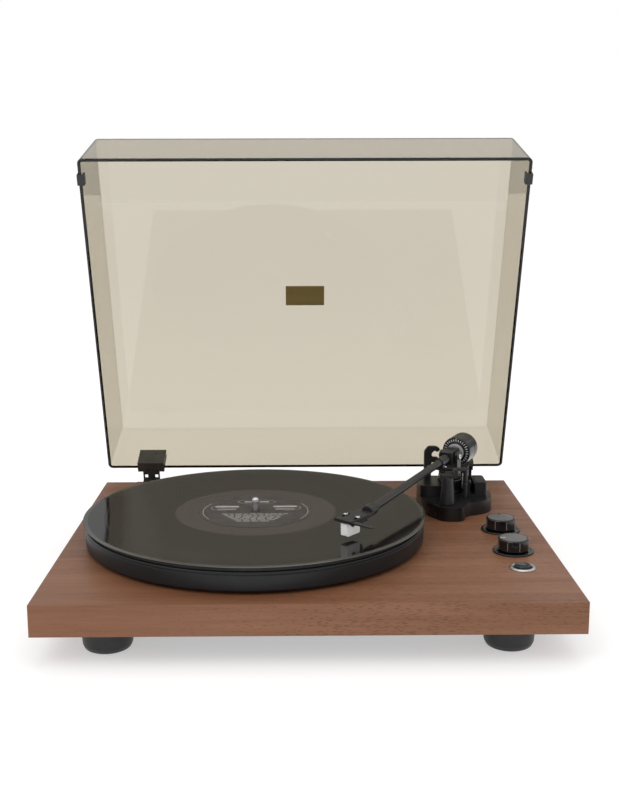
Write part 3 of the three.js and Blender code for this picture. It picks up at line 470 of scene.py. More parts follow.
# ---------------- frames of reference
deck = high("plinth").z
hub = centre("record")
SPINDLE = at(hub.x, hub.y, deck)
pivot = (centre("pivot_screw_left") + centre("pivot_screw_right")) / 2
ARM_YAW = math.radians(-28.4)
ARM_DIP = math.radians(2)
ARM_REACH = 190
PIVOT_HEIGHT = 48
SHELL_OFFSET = math.radians(-14)
ARM_PLACE = at(pivot.x, pivot.y, deck)
SWING = ARM_PLACE @ Matrix.Rotation(ARM_YAW, 4, "Z")
TILT = SWING @ at(0, 0, PIVOT_HEIGHT * MM) @ Matrix.Rotation(ARM_DIP, 4, "X")
SHELL = TILT @ at(0, -ARM_REACH * MM, 0) @ Matrix.Rotation(SHELL_OFFSET, 4, "Z")
hinge = centre("hinge_pin_left")
COVER_OPEN = math.radians(-71.2)
LID = at(0, hinge.y, hinge.z) @ Matrix.Rotation(COVER_OPEN, 4, "X")



def lowest(node):
    """Height of a node's underside above the deck, in mm."""
    return (low(node).z - deck) / MM


def highest(node):
    """Height of a node's top above the deck, in mm."""
    return (high(node).z - deck) / MM


def half_width(node):
    """Half of a node's width, in mm."""
    return (high(node).x - low(node).x) / 2 / MM


# ---------------- plinth
refine("plinth", WALNUT, 0.7, "root", "walnut")


def make_foot(name):
    spot = centre(name)
    height = (high(name).z - low(name).z) / MM
    radius = half_width(name)
    profile = [(0, 0), (radius - 7, 0), (radius - 6, 0.8), (radius - 4.5, 0), (radius - 2, 1.2),
               (radius - 0.4, 4.5), (radius, 9), (radius, height - 4), (radius - 0.9, height - 3.6),
               (radius - 0.9, height - 2.6), (radius, height - 2.2), (radius, height), (0, height)]
    bm = lathe_mesh(profile, 64, 0.8)
    finish_mesh(f"{name}_rubber", bm, at(spot.x, spot.y, low(name).z), RUBBER, "root", name, slot="rubber")


for name in ("foot_front_left", "foot_front_right", "foot_rear_left", "foot_rear_right"):
    make_foot(name)

# ---------------- platter, mat and record
platter_low = lowest("platter")
platter_high = highest("platter")
platter_radius = half_width("platter")
mat_low = lowest("platter_mat")
mat_high = highest("platter_mat")
mat_radius = half_width("platter_mat")
record_low = lowest("record")
record_high = highest("record")
record_radius = half_width("record")
BORE = 3.9
RING_RADIUS = 82

under = platter_high - 5
platter_profile = [
    (BORE, 8), (12, 8), (12, under), (RING_RADIUS - 4, under), (RING_RADIUS - 4, 4.5), (RING_RADIUS, 4.5),
    (RING_RADIUS, under), (platter_radius - 8.5, under), (platter_radius - 8.5, platter_low),
    (platter_radius - 1.2, platter_low), (platter_radius, platter_low + 1.2),
    (platter_radius, platter_high - 3.2), (platter_radius - 0.5, platter_high - 2.9),
    (platter_radius - 0.5, platter_high - 2.5), (platter_radius, platter_high - 2.2),
    (platter_radius, platter_high - 0.8), (platter_radius - 0.8, platter_high), (BORE, platter_high),
    (BORE, 8)]
finish_mesh("platter_casting", lathe_mesh(platter_profile, 192, 0.5), SPINDLE, PLATTER_BLACK, "platter",
            "platter", slot="platter_black")
mat_profile = [(BORE, mat_low), (mat_radius, mat_low), (mat_radius, mat_high), (52, mat_high),
               (51, mat_high - 0.7), (BORE, mat_high - 0.7), (BORE, mat_low)]
finish_mesh("slip_mat", lathe_mesh(mat_profile, 192, 0.5), SPINDLE, MAT_RUBBER, "platter", "platter_mat",
            slot="rubber")

LABEL_RADIUS = 50
WAX_RADIUS = 71
GROOVE_RADIUS = 146.5
GROOVE_DROP = 0.25
surface = record_high - GROOVE_DROP
edge_profile = [(GROOVE_RADIUS + 0.8, record_high - 0.06),
                (record_radius - 1.2, record_high), (record_radius, (record_high + record_low) / 2),
                (record_radius - 1.2, record_low), (BORE, record_low), (BORE, surface),
                (LABEL_RADIUS, surface)]
TRACK_GAPS = (131.5, 116.2, 103.4, 87.1)
grooves = [(GROOVE_RADIUS, surface)]
for gap in TRACK_GAPS:
    grooves += [(gap + 0.55, surface), (gap + 0.4, surface - 0.05),
                (gap - 0.4, surface - 0.05), (gap - 0.55, surface)]
grooves.append((WAX_RADIUS, surface))
body_profile = grooves[::-1] + edge_profile + [(WAX_RADIUS - 0.3, surface - 0.04), (WAX_RADIUS, surface)]
record = finish_mesh("record_disc", lathe_mesh(body_profile, 256, 0), SPINDLE, VINYL, "platter", "record",
                     slot="vinyl")
# Faces in the run-out and beyond the grooves take the lighter vinyl, whose lighter tone is painted sheen.
record.data.materials.append(DEAD_WAX_WITH_PAINTED_SHEEN)
for face in record.data.polygons:
    reach = math.hypot(face.center.x, face.center.y) / MM
    if reach < WAX_RADIUS or reach > GROOVE_RADIUS + 0.2:
        face.material_index = 1

label_profile = [(BORE, surface), (LABEL_RADIUS, surface), (LABEL_RADIUS, surface + 0.12),
                 (LABEL_RADIUS - 0.2, surface + 0.16), (BORE, surface + 0.16), (BORE, surface)]
finish_mesh("record_label", lathe_mesh(label_profile, 128, 0), SPINDLE, PAPER, "platter", slot="vinyl")


def label_print():
    """Plain silver rules and rings, with no lettering."""
    bm = bmesh.new()
    z0, z1 = surface + 0.14, surface + 0.2

    def arc(radius, width, start, end, cx=0.0, cy=0.0, squash=1.0):
        steps = max(6, int(abs(end - start) / 5))
        outer, inner = [], []
        for i in range(steps + 1):
            a = math.radians(start + (end - start) * i / steps)
            for line, reach in ((outer, radius + width / 2), (inner, radius - width / 2)):
                line.append((cx + reach * math.cos(a), cy + reach * squash * math.sin(a)))
        prism_mesh(outer + inner[::-1], z0, z1, 0, bm=bm)

    def bar(x, y, width, height):
        box_mesh((x - width / 2, x + width / 2), (y - height / 2, y + height / 2), (z0, z1), 0, bm=bm)

    for start, end in ((150, 212), (-32, 30)):
        arc(46.5, 0.5, start, end)
    arc(17, 0.5, 0, 180, 0, 29, 0.42)
    arc(17, 0.5, 180, 360, 0, 29, 0.42)
    bar(0, 29, 22, 3.2)
    rng = random.Random(7)
    for side, start in ((-1, 90), (1, -90)):
        for y, width, height in ((13.5, 21, 4.4), (6.5, 17, 0.9), (4.2, 17, 0.9)):
            bar(side * 26, y, width, height)
        arc(14, 0.4, start, start + 180, side * 26, 9.4, 0.62)
    for row in range(7):
        y = -9.5 - row * 3.6
        width = 58 - row * 4.5
        x = -width / 2
        while x < width / 2 - 2:
            length = min(rng.uniform(3.0, 8.5), width / 2 - x)
            bar(x + length / 2, y, length, 1.25)
            x += length + 1.3
    return bm


finish_mesh("label_print", label_print(), SPINDLE, SILVER_INK, "platter", slot="steel")

spindle_top = highest("spindle")
spindle_low = lowest("spindle")
spindle_profile = [(0, spindle_low), (3, spindle_low), (3, 5), (7, 5), (7, 7.9), (3.55, 7.9),
                   (3.55, spindle_top - 3.4), (3.2, spindle_top - 1.6), (2.2, spindle_top - 0.45),
                   (0, spindle_top)]
finish_mesh("spindle_shaft", lathe_mesh(spindle_profile, 48, 0.5), SPINDLE, STEEL, "platter", "spindle",
            slot="steel")

# ---------------- knobs and button
KNOB_RIBS = 8


def flute(angle, r, z):
    """Shallow hollows between the ribs on the side of a knob."""
    turn = (angle / (2 * math.pi) * KNOB_RIBS - 0.3) % 1.0
    return r - 0.3 * math.sin(math.pi * turn) ** 2 if r > 11.5 and 3.0 < z < 11.2 else r


def make_knob(use, pointer_deg):
    node, ring = f"{use}_knob", f"{use}_knob_ring"
    spot = centre(node)
    here = at(spot.x, spot.y, deck)
    top = highest(node)
    bottom = 1.9
    radius = half_width(node)
    stem = lowest(node)
    profile = [(0, stem), (2.5, stem), (2.5, bottom), (radius - 0.6, bottom), (radius, bottom + 0.6),
               (radius, 3.0), (radius, 3.2), (radius, 11.0), (radius, 11.3), (radius - 0.7, top),
               (radius - 1.6, top), (radius - 1.8, top - 0.25), (0, top - 0.25)]
    finish_mesh(f"{node}_body", lathe_mesh(profile, 288, 0.12, flute), here, GLOSS_BLACK, node, node,
                slot="gloss_black")
    # Thin raised ribs in grey metal: the ribs are real, their grey is painted glints on gloss black.
    ribs = bmesh.new()
    for count in range(KNOB_RIBS):
        turn = Matrix.Rotation(2 * math.pi * (count + 0.3) / KNOB_RIBS, 4, "Z")
        box_mesh((radius - 0.3, radius + 0.12), (-0.3, 0.3), (3.4, 10.9), 0.08, 1, bm=ribs, matrix=turn)
    finish_mesh(f"{node}_ribs", ribs, here, RIB_PAINTED_GLINT, node, slot="gloss_black")
    cap = [(0, top - 0.3), (radius - 1.85, top - 0.3), (radius - 1.85, top - 0.05), (radius - 2.1, top),
           (0, top)]
    finish_mesh(f"{node}_cap", lathe_mesh(cap, 96, 0.05), here, BRUSHED_TOP, node, slot="steel")
    turn = Matrix.Rotation(math.radians(pointer_deg), 4, "Z")
    mark = box_mesh((radius * 0.5, radius - 2.2), (-0.55, 0.55), (top - 0.1, top + 0.04), 0.05, 1)
    mark_paint = WHITE_INK if use == "speed" else GLOSS_BLACK
    finish_mesh(f"{node}_mark", mark, here @ turn, mark_paint, node, slot="gloss_black")
    ring_radius = half_width(ring)
    ring_low = lowest(ring)
    ring_high = highest(ring)
    plate = [(3.8, ring_low), (ring_radius, ring_low), (ring_radius, ring_high - 0.5),
             (ring_radius - 0.5, ring_high), (ring_radius - 2.2, ring_high),
             (ring_radius - 3.0, ring_high - 0.4),
             (3.8, ring_high - 0.4), (3.8, ring_low)]
    finish_mesh(f"{ring}_plate", lathe_mesh(plate, 96, 0.15), here, GLOSS_BLACK, "root", ring,
                slot="black_plastic")


make_knob("speed", 180)
make_knob("mode", 90)

button = centre("start_button")
button_top = highest("start_button")
button_low = lowest("start_button")
BUTTON = at(button.x, button.y, deck)
button_profile = [(0, button_low), (2, button_low), (2, -6), (6.9, -6), (6.9, button_top - 0.7),
                  (6.2, button_top), (5.4, button_top), (3.2, button_top - 0.35), (0, button_top - 0.45)]
finish_mesh("start_button_cap", lathe_mesh(button_profile, 64, 0.35), BUTTON, GLOSS_BLACK, "start_button",
            "start_button", slot="gloss_black")
bezel_radius = half_width("button_bezel")
bezel_low = lowest("button_bezel")
bezel_top = highest("button_bezel")
bezel_profile = [(7.3, bezel_low), (bezel_radius, bezel_low), (bezel_radius, bezel_low + 0.4),
                 (bezel_radius - 1.0, bezel_top - 0.15), (bezel_radius - 1.7, bezel_top),
                 (8.1, bezel_top - 0.1), (7.3, bezel_top - 0.7), (7.3, bezel_low)]
finish_mesh("button_bezel_ring", lathe_mesh(bezel_profile, 96, 0.2), BUTTON, STEEL_RING, "root",
            "button_bezel", slot="steel")

# ---------------- tonearm base (mm from the pivot)
UPRIGHT = Matrix.Rotation(math.radians(90), 4, "X")


def offset(x=0.0, y=0.0, z=0.0):
    """A shift in mm."""
    return Matrix.Translation((x * MM, y * MM, z * MM))


def along(axis, profile, segments=48, radius=0.2, shape=None):
    bm = lathe_mesh(profile, segments, radius, shape)
    bmesh.ops.transform(bm, matrix=axis, verts=bm.verts)
    return bm


REST_X = -48 * math.sin(math.radians(10))
REST_Y = -48 * math.cos(math.radians(10))
ROD_X = 30 * math.sin(math.radians(22))
ROD_Y = -30 * math.cos(math.radians(22))
BASE_TOP = 13
base_outline = rounded([
    (REST_X - 6, -63), (REST_X + 14, -63), (REST_X + 18, -46), (30, -37), (38, -25), (38, 4), (26, 26),
    (-23, 26), (-31, 16), (-31, -33)], 14, 7)
base = finish_mesh("arm_base_casting", prism_mesh(base_outline, 0.1, BASE_TOP, 1.6, 4), ARM_PLACE, BASE_BLACK,
                   "root", "tonearm_base", slot="black_plastic")
tower_outline = rounded([(-31, -24), (-4, -24), (-4, 16), (-31, 16)], 8, 6)
combine(base, solid(prism_mesh(tower_outline, 1, 24, 1.2, 3), ARM_PLACE))
pillar = [(0, 1), (13.4, 1), (13.2, 14), (12, 16.5), (12, 25.2), (11.2, 26), (0, 26)]
combine(base, solid(lathe_mesh(pillar, 64, 0.8), ARM_PLACE))
combine(base, solid(lathe_mesh([(0, 5), (4.85, 5), (4.85, 27), (0, 27)], 32, 0), ARM_PLACE), "DIFFERENCE")
combine(base, solid(lathe_mesh([(0, 1), (2.7, 1), (2.7, 14.5), (0, 14.5)], 24, 0),
                    ARM_PLACE @ offset(ROD_X, ROD_Y)), "DIFFERENCE")

saddle = rounded([(-8, 38.5), (8.8, 38.5), (8.8, 46.3), (4.8, 46.3), (4.8, 41.5), (-6, 41.5), (-6, 42.2),
                  (-8, 42.2)], 0.9, 3)
rest = finish_mesh("arm_rest_saddle", prism_mesh(saddle, -4.5, 4.5, 0.4, 2),
                   ARM_PLACE @ offset(REST_X, REST_Y) @ UPRIGHT, SATIN_BLACK, "root", "arm_rest",
                   slot="black_plastic")
rest_post = [(0, BASE_TOP + 0.1), (7.0, BASE_TOP + 0.1), (6.8, 17), (6.0, 26), (5.2, 36), (5.0, 38.6),
             (0, 38.6)]
combine(rest, solid(lathe_mesh(rest_post, 32, 0.6), ARM_PLACE @ offset(REST_X, REST_Y)))

hook_outline = rounded([(0, 24.1), (7, 24.1), (7, 39), (11, 39), (15, 42), (13, 44), (8, 44), (7, 47.5),
                        (10, 51), (13, 49), (16, 52), (12, 55), (4, 55), (0, 50)], 1.6, 3)
finish_mesh("thread_hook", prism_mesh(hook_outline, 0, 4, 0.5, 2), ARM_PLACE @ offset(-24, 14) @ UPRIGHT,
            SATIN_BLACK, "root", "anti_skate_hook", slot="black_plastic")

housing = finish_mesh("lift_housing_body", prism_mesh(
    rounded([(13.2, -24), (33, -24), (33, 6), (13.2, 6)], 2.2, 4), BASE_TOP + 0.1, 26.5, 0.8, 3),
    ARM_PLACE, BASE_BLACK, "root", "lift_housing", slot="black_plastic")
combine(housing, solid(box_mesh((16.8, 21.2), (-25, 1.5), (15.7, 28), 0.3), ARM_PLACE), "DIFFERENCE")
lid_outline = rounded([(22.6, -22.6), (31.8, -22.6), (31.8, 4.8), (22.6, 4.8)], 1.4, 4)
finish_mesh("lift_housing_cap", prism_mesh(lid_outline, 26.3, 27.0, 0.25, 2), ARM_PLACE, SATIN_BLACK, "root",
            slot="black_plastic")

LEVER_PLACE = ARM_PLACE @ offset(19, -4, 21)
lever_hub = [(0, -1.7), (3.9, -1.7), (4.5, -1.1), (4.5, 1.1), (3.9, 1.7), (0, 1.7)]
lever = finish_mesh("cue_lever_hub", along(ALONG_X, lever_hub), LEVER_PLACE, GLOSS_BLACK, "cue_lever",
                    "cue_lever", slot="black_plastic")
lever_outline = rounded([(-1.2, 2), (1.2, 2), (1.0, 12), (1.4, 18), (0.9, 21), (-0.9, 21), (-1.4, 18),
                         (-1.0, 12)], 0.8, 3)
combine(lever, solid(prism_mesh(lever_outline, -1.6, 1.6, 0.35, 2),
                     LEVER_PLACE @ Matrix.Rotation(math.radians(90), 4, "Z") @ UPRIGHT))


def arc_outline(inner, outer, start, end, steps=40):
    angles = [math.radians(start + (end - start) * i / steps) for i in range(steps + 1)]
    outline = [(outer * math.cos(a), outer * math.sin(a)) for a in angles]
    return outline + [(inner * math.cos(a), inner * math.sin(a)) for a in reversed(angles)]


ARC_TOP = PIVOT_HEIGHT - 30 * math.tan(ARM_DIP) - 3.5 / math.cos(ARM_DIP) - 0.5
finish_mesh("lift_arc", prism_mesh(arc_outline(27, 33, -143, -64), ARC_TOP - 2, ARC_TOP, 0.5, 3), ARM_PLACE,
            SATIN_BLACK, "lift_platform", "lift_platform", slot="black_plastic")
rod_profile = [(0, 6), (2.4, 6), (2.4, 27.5), (1.9, 27.9), (1.9, 28.7), (2.4, 29.1), (2.4, ARC_TOP - 2.05),
               (0, ARC_TOP - 2.05)]
finish_mesh("lift_rod", lathe_mesh(rod_profile, 32, 0.2), ARM_PLACE @ offset(ROD_X, ROD_Y), SATIN_BLACK,
            "lift_platform", slot="black_plastic")

# ---------------- tonearm
yoke = finish_mesh("yoke_fork", lathe_mesh(
    [(0, 6), (4.5, 6), (4.5, 26.3), (10.4, 26.3), (11, 26.9), (11, 29.4), (10.2, 30.3), (0, 30.3)], 64, 0.3),
    SWING, SATIN_BLACK, "arm_yoke", "arm_yoke", slot="black_plastic")
cheek = rounded([(-5, 28), (5, 28), (5, 50.5), (3, 53), (-3, 53), (-5, 50.5)], 1.6, 4)
for side in (-1, 1):
    wall = prism_mesh(cheek, -1.5, 1.5, 0.45, 3)
    place = SWING @ offset(side * 8, 0) @ Matrix.Rotation(math.radians(90), 4, "Z") @ UPRIGHT
    combine(yoke, solid(wall, place))
combine(yoke, solid(along(ALONG_X, [(0, -11), (2.3, -11), (2.3, 11), (0, 11)], 32, 0),
                    SWING @ offset(0, 0, PIVOT_HEIGHT)), "DIFFERENCE")
pivot_screw = [(0, 3.5), (2, 3.5), (2, 9.6), (2.8, 9.6), (2.8, 10.4), (2.4, 10.8), (1.3, 10.8), (0.9, 10.1),
               (0, 10.1)]
for side, turn in (("left", 180), ("right", 0)):
    finish_mesh(f"pivot_screw_{side}_turned", along(ALONG_X, pivot_screw, 48, 0.12),
                SWING @ offset(0, 0, PIVOT_HEIGHT) @ Matrix.Rotation(math.radians(turn), 4, "Z"), STEEL,
                "arm_yoke", f"pivot_screw_{side}", slot="steel")

block = finish_mesh("bearing_body", box_mesh((-6, 6), (-12, 9), (-6, 6), 1.1, 4), TILT, BASE_BLACK, "tonearm",
                    "bearing_block", slot="black_plastic")
for axis, radius, start, end, segments in (
        (ALONG_Y, 3.8, -13, -7, 48), (ALONG_Y, 3.3, 4, 10, 48),
        (ALONG_X, 2.3, 3.2, 7, 32), (ALONG_X, 2.3, -7, -3.2, 32)):
    bore = along(axis, [(0, start), (radius, start), (radius, end), (0, end)], segments, 0)
    combine(block, solid(bore, TILT), "DIFFERENCE")

tube = [(2.7, -ARM_REACH), (3.5, -ARM_REACH), (3.5, -7.3), (2.7, -7.3), (2.7, -ARM_REACH)]
finish_mesh("arm_tube_body", along(ALONG_Y, tube, 64, 0), TILT, CARBON, "tonearm", "arm_tube", slot="carbon")
sleeve = [(3.55, -30), (4.3, -30), (4.6, -29.4), (4.6, -12.6), (4.3, -12.1), (3.55, -12.1), (3.55, -30)]
finish_mesh("arm_sleeve", along(ALONG_Y, sleeve, 64, 0.1), TILT, SATIN_BLACK, "tonearm",
            slot="black_plastic")
stub = [(0, 4.3), (3, 4.3), (3, 37.8), (2.5, 38.3), (0, 38.3)]
finish_mesh("stub_shaft", along(ALONG_Y, stub, 48, 0.1), TILT, STEEL, "tonearm", "counterweight_stub",
            slot="steel")
bush = [(3.3, 16.6), (5.0, 16.6), (5.5, 17.1)]
for step in range(21):
    bush += [(5.5, 17.6 + step), (5.2, 18.1 + step)]
bush += [(5.5, 39.1), (5.0, 39.6), (3.3, 39.6), (3.3, 16.6)]
finish_mesh("threaded_bush", along(ALONG_Y, bush, 48, 0), TILT, BRASS, "weight_bush", "weight_bush",
            slot="brass")

weight = [(5.85, 16), (9.4, 16), (9.8, 16.3), (13.4, 16.3), (14.2, 17.0), (14.4, 18), (14.4, 31.0),
          (14.0, 31.3), (14.0, 32.0), (14.4, 32.3), (14.4, 38.8), (13.2, 40), (11.5, 40), (11.1, 39.3),
          (7.2, 39.3), (6.8, 40), (5.85, 40), (5.85, 16)]
finish_mesh("counterweight_body", along(ALONG_Y, weight, 96, 0.25), TILT, GLOSS_BLACK, "counterweight",
            "counterweight", slot="black_plastic")
scale = bmesh.new()
TICKS = 30
for tick in range(TICKS):
    outer = 13.3 if tick % 5 == 0 else 12.6
    turn = Matrix.Rotation(2 * math.pi * tick / TICKS, 4, "Y")
    box_mesh((-0.32, 0.32), (16.18, 16.45), (10.4, outer), 0, bm=scale, matrix=turn)
finish_mesh("counterweight_scale", scale, TILT, WHITE_INK, "counterweight", slot="ivory")


DIAL_RIBS = 36


def dial_rib(angle, r, z):
    """Fine ribs round the rim of the dial."""
    return r - 0.22 * (0.5 + 0.5 * math.cos(angle * DIAL_RIBS)) if r > 8.2 and 13.2 < z < 15.2 else r


dial = [(3.6, 12.4), (7.6, 12.4), (8.35, 12.9), (8.6, 13.3), (8.6, 15.1), (8.2, 15.6), (3.6, 15.6),
        (3.6, 12.4)]
finish_mesh("dial_ring", along(ALONG_Y, dial, 216, 0.1, dial_rib), TILT, DIAL_GREY, "force_dial",
            "force_dial", slot="sheet_steel")
marks = bmesh.new()
DIAL_TICKS = 24
for tick in range(DIAL_TICKS):
    long_tick = tick % 3 == 0
    turn = Matrix.Rotation(2 * math.pi * tick / DIAL_TICKS, 4, "Y")
    box_mesh((-0.16, 0.16), (12.34, 12.45), (5.9 if long_tick else 6.6, 7.5), 0, bm=marks, matrix=turn)
finish_mesh("dial_scale", marks, TILT, WHITE_INK, "force_dial", slot="ivory")

# ---------------- headshell and cartridge
SCREW_APART = 6.35
shell_outline = rounded([(-5, 3), (5, 3), (9, -8), (9, -33), (-9, -33), (-9, -8)], 1.2, 4)
shell = finish_mesh("headshell_plate", prism_mesh(shell_outline, -1.1, 1.1, 0.35, 3), SHELL, SATIN_BLACK,
                    "tonearm", "headshell", slot="black_plastic")
turn_back = SHELL @ Matrix.Rotation(-SHELL_OFFSET, 4, "Z")
collar = [(0, -2), (4.7, -2), (5.2, -1.5), (5.2, 9.4), (4.6, 10), (0, 10)]
combine(shell, solid(along(ALONG_Y, collar, 64, 0.2), turn_back))
collar_bore = along(ALONG_Y, [(0, -1), (3.8, -1), (3.8, 16), (0, 16)], 48, 0)
combine(shell, solid(collar_bore, turn_back), "DIFFERENCE")
for side in (-1, 1):
    left, right = side * SCREW_APART - 1.4, side * SCREW_APART + 1.4
    slot = rounded([(left, -26), (right, -26), (right, -16), (left, -16)], 1.39, 5)
    combine(shell, solid(prism_mesh(slot, -3, 3, 0), SHELL), "DIFFERENCE")
tab_outline = rounded([(9.3, -33), (28.6, -32.8), (30.3, -31.6), (30.3, -29.8), (28.6, -28.6), (9.3, -28)],
                      1.2, 4)
finish_mesh("finger_lift_tab", prism_mesh(tab_outline, -0.6, 0.6, 0.25, 2), SHELL, SATIN_BLACK, "tonearm",
            "finger_lift", slot="black_plastic")

flange = rounded([(-8, -24), (-6, -26), (6, -26), (8, -24), (8, -10), (6, -9), (-6, -9), (-8, -10)], 0.8, 3)
cartridge_body = finish_mesh("cartridge_shell", prism_mesh(flange, -3.6, -1.2, 0.3, 2), SHELL, SATIN_BLACK,
                             "tonearm", "cartridge", slot="black_plastic")
combine(cartridge_body, solid(box_mesh((-2.15, 2.15), (-29.3, -9.6), (-9.4, -1.6), 0.3), SHELL))
for side in (-1, 1):
    combine(cartridge_body, solid(lathe_mesh([(0, -5.2), (1.4, -5.2), (1.4, 0), (0, 0)], 24, 0),
                                  SHELL @ offset(side * SCREW_APART, -21)), "DIFFERENCE")
STYLUS_LOW = -13.3
# The white grip wraps the body, and its sides dip in the middle.
grip_side = rounded([(-31, -12.7), (-30, STYLUS_LOW), (-16, STYLUS_LOW), (-15, -12.4), (-15, -3.9),
                     (-17, -3.9), (-23, -7.4), (-29.4, -2.6), (-31, -2.6)], 0.5, 3)
ACROSS = Matrix.Rotation(math.radians(90), 4, "Z") @ UPRIGHT
stylus = finish_mesh("stylus_grip", prism_mesh(grip_side, -3.4, 3.4, 0.35, 2), SHELL @ ACROSS, IVORY,
                     "tonearm", "stylus_assembly", slot="ivory")
combine(stylus, solid(box_mesh((-2.3, 2.3), (-29.5, -14), (-9.6, 0), 0.1), SHELL), "DIFFERENCE")
combine(stylus, solid(box_mesh((-2.0, 2.0), (-29.4, -17), (-15, -10.8), 0.3), SHELL), "DIFFERENCE")
cantilever = [(0, 0), (0.35, 0), (0.28, 6.4), (0, 6.4)]
finish_mesh("cantilever", lathe_mesh(cantilever, 16, 0),
            SHELL @ offset(0, -19.0, -12.6) @ Matrix.Rotation(math.radians(97), 4, "X"), STEEL, "tonearm",
            slot="steel")
finish_mesh("stylus_tip", lathe_mesh([(0, -14.5), (0.12, -14.3), (0.45, -13.4), (0, -13.2)], 16, 0),
            SHELL @ offset(0, -26), STEEL, "tonearm", slot="steel")
for side, sign in (("left", -1), ("right", 1)):
    place = SHELL @ offset(sign * SCREW_APART, -21)
    screw = [(0, -4.9), (1.1, -4.9), (1.1, 1.2), (2.1, 1.2), (2.1, 2.2), (1.7, 2.7), (0, 2.7)]
    head = finish_mesh(f"cartridge_screw_{side}_turned", lathe_mesh(screw, 32, 0.15), place, STEEL,
                       "tonearm", f"cartridge_screw_{side}", slot="steel")
    combine(head, solid(box_mesh((-3, 3), (-0.3, 0.3), (2.0, 3), 0),
                        place @ Matrix.Rotation(0.6 * sign, 4, "Z")), "DIFFERENCE")

# ---------------- dust cover (mm, shut, from the hinge axis)
COVER_HALF = 210
COVER_BACK = -17.3
COVER_LENGTH = 338
RIM_Z = 9.6
COVER_HEIGHT = 76
COVER_WALL = 3
COVER_CORNER = 5
COVER_DRAFT = math.tan(math.radians(2.5))
REAR_RELIEF = 186


def cover_ring(inset, height, bm):
    """One level of the cover's wall, inset from the outer face, with points along its long rear side."""
    cx, cy = COVER_HALF - inset, COVER_LENGTH / 2 - inset
    corner = max(COVER_CORNER - inset, 2.0)
    lean = COVER_DRAFT * height
    sx, sy = 1 - lean / cx, 1 - lean / cy
    points = []
    for qx, qy, start in ((1, 1, 0), (-1, 1, 90), (-1, -1, 180), (1, -1, 270)):
        for step in range(13):
            a = math.radians(start + 90 * step / 12)
            points.append(((qx * (cx - corner) + corner * math.cos(a)) * sx,
                           (qy * (cy - corner) + corner * math.sin(a)) * sy))
        if start == 0:
            rear = (REAR_RELIEF, REAR_RELIEF - 1.5, 0, 1.5 - REAR_RELIEF, -REAR_RELIEF)
            points += [(x * sx, cy * sy) for x in rear]
    middle = COVER_BACK - COVER_LENGTH / 2
    ring = []
    for x, y in points:
        rear_rim = height < 0.5 and abs(x) < REAR_RELIEF - 1 and y > cy * sy - 0.1
        ring.append(bm.verts.new((x, y + middle, RIM_Z + height + (0.9 if rear_rim else 0))))
    return ring


def make_cover():
    """The cover's skin: up the outside, over the top edge, and back over the rim and up the inside."""
    bm = bmesh.new()
    rings = []
    fillet = 1.8
    for height in (0.5, 1.0, 30, COVER_HEIGHT - fillet - 0.3, COVER_HEIGHT - fillet):
        rings.append(cover_ring(0, height, bm))
    for step in range(1, 7):
        a = math.radians(90 * step / 6)
        rings.append(cover_ring(fillet * (1 - math.cos(a)), COVER_HEIGHT - fillet + fillet * math.sin(a), bm))
    rim = [cover_ring(COVER_WALL, 0.5, bm), cover_ring(COVER_WALL - 0.5, 0, bm),
           cover_ring(0.5, 0, bm)]
    inner = [cover_ring(COVER_WALL, h, bm)
             for h in (COVER_HEIGHT - COVER_WALL - 0.6, COVER_HEIGHT - COVER_WALL - 0.9, 30, 1)]
    inside_top = cover_ring(COVER_WALL + 0.6, COVER_HEIGHT - COVER_WALL, bm)
    inside_mid = cover_ring(COVER_WALL + 0.18, COVER_HEIGHT - COVER_WALL - 0.18, bm)
    loop = [rings[-1], *rings[-2::-1], rim[2], rim[1], rim[0], *inner[::-1], inside_mid, inside_top]
    for first, second in zip(loop, loop[1:]):
        for i in range(len(first)):
            j = (i + 1) % len(first)
            bm.faces.new((first[i], first[j], second[j], second[i]))
    bm.faces.new(rings[-1])
    bm.faces.new(inside_top)
    return bm


finish_mesh("dust_cover_shell", make_cover(), LID, ACRYLIC, "dust_cover", "dust_cover", slot="smoked_acrylic",
            smooth=50, baked=True)
for side in ("left", "right"):
    refine(f"cover_bumper_{side}", RUBBER, 0.5, "dust_cover", "rubber", 3)
    refine(f"hinge_clip_{side}", CLIP_SMOKE, 0.4, "dust_cover", "black_plastic", 2)
    refine(f"hinge_bracket_{side}", SATIN_BLACK, 0.4, "root", "black_plastic", 2)
    pin = [(0, -15), (1.6, -15), (2, -14.6), (2, 14.6), (1.6, 15), (0, 15)]
    spot = centre(f"hinge_pin_{side}")
    finish_mesh(f"hinge_pin_{side}_turned", along(ALONG_X, pin, 32, 0.1), at(*spot), STEEL, "root",
                f"hinge_pin_{side}", slot="steel")

PLATE_Z = RIM_Z + COVER_HEIGHT + 0.1
PLATE_Y = COVER_BACK - 166.4
plate_face = rounded([(-20.2, -11), (20.2, -11), (20.2, 11), (-20.2, 11)], 0.8, 3)
# The plate's pale bronze is partly painted light, for the shade behind the smoked cover.
finish_mesh("blank_plate", prism_mesh(plate_face, PLATE_Z, PLATE_Z + 0.5, 0.12, 2), LID @ offset(0, PLATE_Y),
            BRONZE_WITH_PAINTED_LIGHT, "dust_cover", "name_plate", slot="bronze_plate", baked=True)

